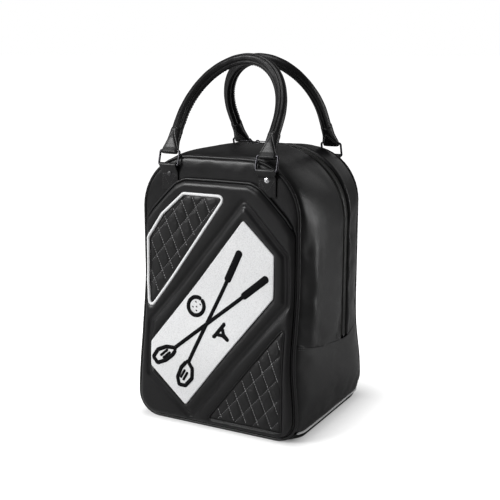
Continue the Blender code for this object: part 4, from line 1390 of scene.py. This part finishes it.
RING_RADIUS = 0.0015
RING_CORNER = 0.0030
BAR_Z = high("ring_front_left").z - RING_RADIUS
LOOP_OUT = 0.0055
BAR_OUT = 0.0005
TAB_HALF = (high("tab_back_right").x - low("tab_back_right").x) / 2
TAB_FRONT_END = 0.3155
TAB_FACE = 0.00262
TAB_MARGIN = 0.0024  # from a tab's side to its stitches
HANDLE_LEAN = math.radians(35)
LEG = 0.047
ARCH_RISE = 0.0952
WELT_TURN = 0.16  # radians from the middle of the welt to its stitches
FOOT_TOP = 0.0300
FOOT_SECTIONS = ((-0.0044, 0.0225, 0.0020, 4.0), (-0.0036, 0.0238, 0.0058, 4.0),
                 (0.0030, 0.0240, 0.0068, 3.6), (0.0085, 0.0208, 0.0094, 2.8),
                 (0.0150, 0.0176, 0.0128, 2.3), (0.0300, 0.0160, 0.0160, 2.0),
                 (0.0312, 0.0156, 0.0158, 2.0))


def face_y(facing, out):
    return MID_Y + facing * (HALF_DEPTH + out)


def extruded(name, section, half, facing, x, material):
    """A strip across X with the (out, z) section and softened sides."""
    across = np.array((-1.0, -0.995, -0.975, -0.94, 0.94, 0.975, 0.995, 1.0)) * half
    shrink = np.array((0.00075, 0.00035, 0.0001, 0.0, 0.0, 0.0001, 0.00035, 0.00075))
    inner = np.stack([grown(section, -s) for s in shrink])
    count = len(section)
    points = np.concatenate([stack(x + aside, face_y(facing, ring[:, 0]), ring[:, 1])
                             for aside, ring in zip(across, inner)])
    faces = grid_faces(len(across), count, closed=True).tolist()
    faces += [list(range(count)), list(range(len(points) - count, len(points)))[::-1]]
    piece = new_solid(name, points, faces, material)
    piece.data.set_sharp_from_angle(angle=math.radians(50))
    return piece


def tab_section(end):
    """The folded strap: flat on the bag below, round the ring's bar above."""
    angle = np.radians(np.linspace(-35, 190, 14))
    loop = np.stack((LOOP_OUT + 0.0032 * np.cos(angle), LOOP_Z + 0.0032 * np.sin(angle)), axis=-1)
    front = ((0.0026, end), (0.0027, LOOP_Z - 0.0135), (0.0034, LOOP_Z - 0.0090), (0.0062, LOOP_Z - 0.0052))
    back = ((0.0014, LOOP_Z - 0.0045), (0.0005, LOOP_Z - 0.0110), (0.0004, end))
    return resample(np.concatenate((front, loop, back)), 0.0009, True)


def make_tab(name, side, facing, body):
    x = side * HANDLE_X
    end = TAB_FRONT_END if facing < 0 else low("tab_back_left").z
    tab = extruded(f"{name}_strap", tab_section(end), TAB_HALF, facing, x, LEATHER)
    ridden(tab, body, [name])
    bottom = end + (0.001 if facing < 0 else 0.003)
    top = LOOP_Z - 0.012
    edge = TAB_HALF - TAB_MARGIN
    ways = [((-edge, top), (-edge, bottom)), ((edge, top), (edge, bottom)),
            ((-edge, top), (0.0, bottom + 0.004)), ((edge, top), (0.0, bottom + 0.004)),
            ((-edge, top), (edge, top))]
    if facing > 0:
        ways.append(((-edge, bottom), (edge, bottom)))
    lines = []
    for start, stop in ways:
        t = np.linspace(0.0, 1.0, 12)[:, None]
        flat = np.array(start) * (1 - t) + np.array(stop) * t
        line = stack(x + flat[:, 0], face_y(facing, TAB_FACE), flat[:, 1])
        lines.append(sewing_line(line, (0.0, float(facing), 0.0)))
    ridden(stitches(f"{name}_stitching", lines, DARK_THREAD, 0.0019, 0.0009, 0.00030), body)


def turned(name, centre, facing, profile, material, slot_half):
    """A round piece about an axis along Y, with an optional screwdriver slot."""
    sides = 40
    angle = np.linspace(0.0, 2 * math.pi, sides, endpoint=False)
    grid = np.stack([stack(radius * np.cos(angle), facing * height, radius * np.sin(angle))
                     for height, radius in profile])
    points = grid.reshape(-1, 3)
    if slot_half:
        turn = math.radians(38)
        across = points[:, 0] * math.sin(turn) + points[:, 2] * math.cos(turn)
        cut = 1.0 - ease((np.abs(across) - slot_half) / (slot_half * 0.6))
        points[:, 1] -= facing * 0.0007 * cut * (np.abs(points[:, 1]) > 0.0008)
    return new_solid(name, points + centre, tube_faces(len(profile), sides), material)


def make_rivet(name, side, facing, body):
    bright = name == "rivet_front_right"
    radius = 0.0036
    t = np.linspace(0.0, 1.0, 22)
    dome = [(0.0006 + 0.0013 * math.sqrt(max(0.0, 1.0 - s * s)) ** 1.2, radius * s) for s in t[:0:-1]]
    rim = [(0.0, radius * 0.98), (0.0003, radius)]
    centre = np.array((side * HANDLE_X, face_y(facing, 0.0026), RIVET_Z))
    # Only the front right rivet is bright metal; the others get the dark painted-shade copy of the same
    # rivet
    piece = turned(f"{name}_head", centre, facing, rim + dome, BRIGHT_METAL if bright else RIVET_PAINTED_SHADE,
                   0.00045 if bright else 0.0)
    ridden(piece, body, [name])


def make_ring(name, side, facing):
    foot = np.array((side * HANDLE_X, face_y(facing, LOOP_OUT), LOOP_Z))
    rise = np.array((side * HANDLE_X, face_y(facing, BAR_OUT), BAR_Z)) - foot
    length = np.linalg.norm(rise)
    half = middle("ring_back_right").x - low("ring_back_right").x - RING_RADIUS
    corners = ((half, 0.0), (half, length), (-half, length), (-half, 0.0))
    flat = rounded(corners, RING_CORNER, 0.0009)
    path = foot + flat[:, :1] * np.array((1.0, 0.0, 0.0)) + flat[:, 1:] * rise / length
    ring = sweep(f"{name}_wire", path, rod(RING_RADIUS), BLACK_METAL, closed=True, sides=18)
    ridden(ring, name, [name])


def handle_frame(facing):
    bar = np.array((0.0, face_y(facing, BAR_OUT), BAR_Z))
    along = np.array((0.0, -facing * math.sin(HANDLE_LEAN), math.cos(HANDLE_LEAN)))
    return bar, along, np.cross((1.0, 0.0, 0.0), along)


def grip_section(angle, share):
    """A rolled grip: a sewn welt along its inner side, a groove on each side of it, soft creases."""
    turn = (angle + math.pi) % (2 * math.pi) - math.pi
    radius = 0.00735 + 0.0013 * np.exp(-((turn / 0.30) ** 2))
    radius = radius - 0.0011 * np.exp(-(((np.abs(turn) - 0.62) / 0.16) ** 2))
    radius = radius + 0.0007 * np.exp(-(((np.abs(turn) - 1.45) / 0.20) ** 2))
    radius = radius - 0.0008 * np.exp(-(((np.abs(turn) - 1.90) / 0.13) ** 2))
    radius = radius + 0.0002 * np.cos(2 * turn + 3.0 * np.sin(share * 9.0))
    return radius + 0.00010 * np.sin(share * 95.0 + 2.0 * np.cos(turn)) * np.abs(np.sin(turn))


def make_handle(prefix, facing):
    body = f"{prefix}_handle"
    bar, along, out = handle_frame(facing)
    angle = np.linspace(0.0, math.pi, 130)
    arch = (bar + along * (LEG + ARCH_RISE * np.sin(angle))[:, None]
            - np.array((1.0, 0.0, 0.0)) * (HANDLE_X * np.cos(angle))[:, None])
    legs = [bar + along * FOOT_TOP + np.array((side * HANDLE_X, 0.0, 0.0)) for side in (-1, 1)]
    path = resample(np.concatenate((legs[:1], arch, legs[1:])), 0.0018, False)
    grip = sweep(f"{body}_leather", path, grip_section, LEATHER, across=out, sides=56)
    ridden(grip, body, [f"{body}_grip"])
    inward = frames_along(path, False, out)[1]
    direction = (inward * math.cos(WELT_TURN) - out * math.sin(WELT_TURN))[6:-6]
    line = (path[6:-6] + direction * 0.0085, direction)
    ridden(stitches(f"{body}_stitching", [line], DARK_THREAD, 0.0028, 0.0012, 0.0003), body)
    for hand, side in HANDS.items():
        make_foot(f"{body}_foot_{hand}", bar + np.array((side * HANDLE_X, 0.0, 0.0)), along, out, body)


def make_foot(name, base, along, out, body):
    """The flared leather foot, folded round the ring with a V-shaped overlap."""
    sections = np.array(FOOT_SECTIONS)
    rises = np.concatenate((sections[:2, 0], np.linspace(-0.0028, 0.0298, 40), sections[-2:, 0]))
    count = 72
    angle = np.linspace(0.0, 2 * math.pi, count, endpoint=False)
    rings = []
    for rise in rises:
        width, depth, power = [np.interp(rise, sections[:, 0], sections[:, k]) for k in (1, 2, 3)]
        u = np.abs(np.cos(angle)) ** (2 / power) * np.sign(np.cos(angle)) * width / 2
        v = np.abs(np.sin(angle)) ** (2 / power) * np.sign(np.sin(angle)) * depth / 2
        line = 0.0108 * (1.0 - np.clip((rise - 0.002) / 0.023, 0.0, 1.0))
        crease = np.exp(-(((np.abs(u) - line) / 0.0008) ** 2)) * ease((rise + 0.001) / 0.004)
        flap = ease((line - np.abs(u)) / 0.0010) * ease((0.028 - rise) / 0.004)
        v = v + np.sign(v) * (0.0005 * flap - 0.0007 * crease)
        v = v + np.sign(v) * 0.0004 * np.exp(-(((rise - 0.0285) / 0.0012) ** 2))
        rings.append(base + along * rise + u[:, None] * np.array((1.0, 0.0, 0.0)) + v[:, None] * out)
    grid = np.stack(rings)
    faces = tube_faces(len(rings), count)
    foot = new_solid(f"{name}_leather", grid.reshape(-1, 3), faces, LEATHER)
    ridden(foot, body, [name])
    lines = []
    for facing in (-1, 1):
        for hand in (-1, 1):
            t = np.linspace(0.10, 0.86, 16)
            rise = 0.002 + 0.023 * t
            u = hand * np.maximum(0.0108 * (1.0 - t) - 0.0019, 0.0)
            depth = np.interp(rise, sections[:, 0], sections[:, 2]) / 2 + 0.00045
            line = (base + along * rise[:, None] + u[:, None] * np.array((1.0, 0.0, 0.0))
                    + facing * depth[:, None] * out)
            lines.append(sewing_line(line, facing * out))
    ridden(stitches(f"{name}_stitching", lines, DARK_THREAD, 0.0018, 0.0009, 0.00028), body)


def make_carrying():
    for prefix, facing in HANDLE_FACES.items():
        owner = "tub" if facing < 0 else "back_lid"
        for hand, side in HANDS.items():
            make_tab(f"tab_{prefix}_{hand}", side, facing, owner)
            make_rivet(f"rivet_{prefix}_{hand}", side, facing, owner)
            make_ring(f"ring_{prefix}_{hand}", side, facing)
        make_handle(prefix, facing)


# Sliders and pulls

def block(name, centre, size, material, power=4.0, taper=0.0):
    """A rounded block, narrower towards +X by taper."""
    count = 20
    u = np.linspace(-math.pi / 2, math.pi / 2, count)
    v = np.linspace(0.0, 2 * math.pi, 36, endpoint=False)

    def bent(value):
        return np.sign(value) * np.abs(value) ** (2 / power)

    x = bent(np.sin(u))[:, None] + 0.0 * v
    ring = bent(np.cos(u))[:, None] * (1.0 - taper * (x + 1.0) / 2)
    y = ring * bent(np.cos(v))
    z = bent(np.cos(u))[:, None] * bent(np.sin(v))
    points = np.stack((x, y, z), axis=-1).reshape(-1, 3) * np.asarray(size) / 2 + centre
    return new_solid(name, points, grid_faces(count, 36, closed=True), material)


def joined(name, pieces):
    """One object of several shapes."""
    made = bmesh.new()
    for piece in pieces:
        made.from_mesh(piece.data)
    mesh = bpy.data.meshes.new(name)
    made.to_mesh(mesh)
    made.free()
    mesh.shade_smooth()
    mesh.materials.append(pieces[0].data.materials[0])
    for piece in pieces:
        bpy.data.objects.remove(piece)
    result = bpy.data.objects.new(name, mesh)
    bpy.context.scene.collection.objects.link(result)
    return result


def make_sliders():
    for hand, side in HANDS.items():
        body_low, body_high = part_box(f"slider_{hand}")
        centre = np.array((body_low + body_high) / 2)
        size = np.array(body_high - body_low)
        base = np.array((centre[0], centre[1], body_low.z + 0.0019))
        parts = [block("plate", base, (size[0], size[1], 0.0020), BLACK_METAL, 5.0, 0.18)]
        x = np.linspace(-0.0031, 0.0031, 24)
        arch = stack(centre[0] + x, centre[1], base[2] + 0.0003 + 0.0042 * (1 - (x / 0.0031) ** 4))
        parts.append(sweep("bridge", arch, rod(0.00075), BLACK_METAL, sides=12))
        slider = joined(f"slider_{hand}_body", parts)
        ridden(slider, f"slider_{hand}", [f"slider_{hand}"])
        pull_low, pull_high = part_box(f"pull_{hand}")
        middle_y = (pull_low.y + pull_high.y) / 2
        z = (pull_low.z + pull_high.z) / 2
        inner, outer = (pull_low.x, pull_high.x) if side > 0 else (pull_high.x, pull_low.x)
        pivot = inner + side * 0.0017
        angle = np.linspace(0.0, 2 * math.pi, 28, endpoint=False)
        eye = stack(pivot + 0.0019 * np.cos(angle), middle_y + 0.0013 * np.sin(angle), z)
        parts = [sweep("eye", eye, rod(0.00060), BLACK_METAL, closed=True, sides=10)]
        shank = (pivot + side * 0.0015 + outer) / 2
        parts.append(block("tag", (shank, middle_y, z), (abs(outer - pivot) - 0.0014, 0.0043, 0.0013),
                           BLACK_METAL, 3.4, 0.0))
        pull = joined(f"pull_{hand}_tag", parts)
        ridden(pull, f"pull_{hand}", [f"pull_{hand}"])


# Camera, lights and floor

def new_light(name, place_, aim, size, power):
    light = bpy.data.lights.new(name, "AREA")
    light.shape = "RECTANGLE"
    light.size, light.size_y = size
    light.energy = power
    lamp = bpy.data.objects.new(name, light)
    lamp.location = place_
    lamp.visible_camera = False
    lamp.rotation_euler = (Vector(aim) - Vector(place_)).to_track_quat("-Z", "Y").to_euler()
    bpy.context.scene.collection.objects.link(lamp)


FLOOR_HALF = 150.0
FLOOR_SINK = 0.0004
NEAR_PAINTED_SHADOW = 0.02  # painted contact shadow: the floor's brightness where it meets the bag, where the open floor has 1
PAINTED_SHADOW_REACH = 0.085  # how far from the bag the painted contact shadow fades out to the floor's full brightness
AMBIENT = 0.12
AIM = (0.0, 0.0, 0.22)
LIGHTS = (
    # name, place, aim, size, watts
    ("top_softbox", (-0.10, -0.25, 1.70), AIM, (0.9, 0.6), 8.0),
    ("front_key", (-1.20, -1.75, 1.35), AIM, (1.0, 0.8), 50.0),
    ("right_strip", (0.86, 0.62, 0.36), (0.10, 0.0, 0.20), (0.12, 0.66), 2.6),
    ("left_strip", (-1.5, -0.5, 0.9), AIM, (0.4, 1.0), 4.0),
    ("back_rim", (0.2, 1.9, 1.0), AIM, (1.2, 0.6), 1.0),
)


def camera_only(tree, seen_otherwise, seen_by_camera):
    """One brightness for the camera and another for light and reflections."""
    ray = node(tree, "ShaderNodeLightPath").outputs["Is Camera Ray"]
    return spread(tree, ray, 0.0, 1.0, seen_otherwise, seen_by_camera)


def make_world():
    bpy.context.scene.view_settings.view_transform = "Standard"
    world = bpy.data.worlds.new("studio")
    world.use_nodes = True
    bpy.context.scene.world = world
    background = world.node_tree.nodes["Background"]
    feed(world.node_tree, background, {"Color": grey(1.0),
                                       "Strength": camera_only(world.node_tree, AMBIENT, 1.0)})


def beside_the_bag(tree):
    """How far a point of the floor is from the bag's footprint."""
    beside = node(tree, "ShaderNodeNewGeometry").outputs["Position"]
    footprint = (HALF_WIDTH - 0.012, HALF_DEPTH - 0.004, 1.0)
    for operation, value in (("SUBTRACT", (0.0, MID_Y, 0.0)), ("ABSOLUTE", None),
                             ("SUBTRACT", footprint), ("MAXIMUM", (0.0, 0.0, 0.0))):
        inputs = {0: beside} if value is None else {0: beside, 1: value}
        beside = node(tree, "ShaderNodeVectorMath", inputs, operation=operation).outputs["Vector"]
    return node(tree, "ShaderNodeVectorMath", {0: beside}, operation="LENGTH").outputs["Value"]


def make_floor():
    """A floor that the camera sees as the white background, with a painted contact shadow: darker close to
    the bag.
    """
    material, tree, shader = new_nodes("pale_floor")
    # Painted contact shadow: the floor's glow, seen only by the camera, falls off towards the bag's
    # footprint
    share = combined(tree, "POWER", spread(tree, beside_the_bag(tree), 0.0, PAINTED_SHADOW_REACH), 0.55)
    glow_with_painted_shadow = spread(tree, share, 0.0, 1.0, NEAR_PAINTED_SHADOW, 1.0)
    seen = combined(tree, "MULTIPLY", camera_only(tree, 0.0, 1.0), glow_with_painted_shadow)
    feed(tree, shader, {"Base Color": grey(0.62), "Roughness": 0.8, "Specular IOR Level": 0.1,
                        "Emission Color": grey(1.0), "Emission Strength": seen})
    corners = FLOOR_HALF * np.array(((-1, -1, 0), (1, -1, 0), (1, 1, 0), (-1, 1, 0)))
    floor = new_piece("floor", corners - (0.0, 0.0, FLOOR_SINK), np.array([[0, 1, 2, 3]]), material)


def make_studio():
    make_world()
    make_floor()
    for settings in LIGHTS:
        new_light(*settings)


CAMERA_AZIMUTH = math.radians(28.47)
CAMERA_ELEVATION = math.radians(11.96)
CAMERA_LENS = 66.73
CAMERA_DISTANCE = 1.2878
CAMERA_TARGET = (-0.00576, MID_Y, 0.22245)


def make_camera():
    flat = math.cos(CAMERA_ELEVATION)
    back = Vector((math.sin(CAMERA_AZIMUTH) * flat, -math.cos(CAMERA_AZIMUTH) * flat,
                   math.sin(CAMERA_ELEVATION)))
    camera = bpy.data.cameras.new("camera")
    camera.sensor_width = 36.0
    camera.lens = CAMERA_LENS
    holder = bpy.data.objects.new("camera", camera)
    holder.location = Vector(CAMERA_TARGET) + back * CAMERA_DISTANCE
    holder.rotation_euler = (-back).to_track_quat("-Z", "Y").to_euler()
    bpy.context.scene.collection.objects.link(holder)
    bpy.context.scene.camera = holder


# Pieces whose model shape is already right get their finish here

FINISHES = {
    "lining_cloth": LINING, "stiffener_board": BOARD, "foam_core": FOAM, "black_metal": BLACK_METAL,
    "bright_metal": BRIGHT_METAL, "black_leather": LEATHER, "zip_tape": ZIP_TAPE,
    "zip_teeth": ZIP_TEETH, "white_piping": WHITE_PIPING, "white_leather": WHITE_LEATHER,
    "quilted_leather": QUILT_LEATHER, "base_leather": BASE_LEATHER,
}


def finish_nodes():
    for part in frame["record"]["subparts"]:
        item = frame["nodes"][part["node"]]
        item.data.materials.clear()
        item.data.materials.append(FINISHES[part["material_slot"]])


def main():
    make_studio()
    make_camera()
    finish_nodes()
    make_front()
    make_badge()
    make_pipings()
    make_gussets()
    make_zip()
    make_lower_body()
    make_back()
    make_carrying()
    make_sliders()


main()
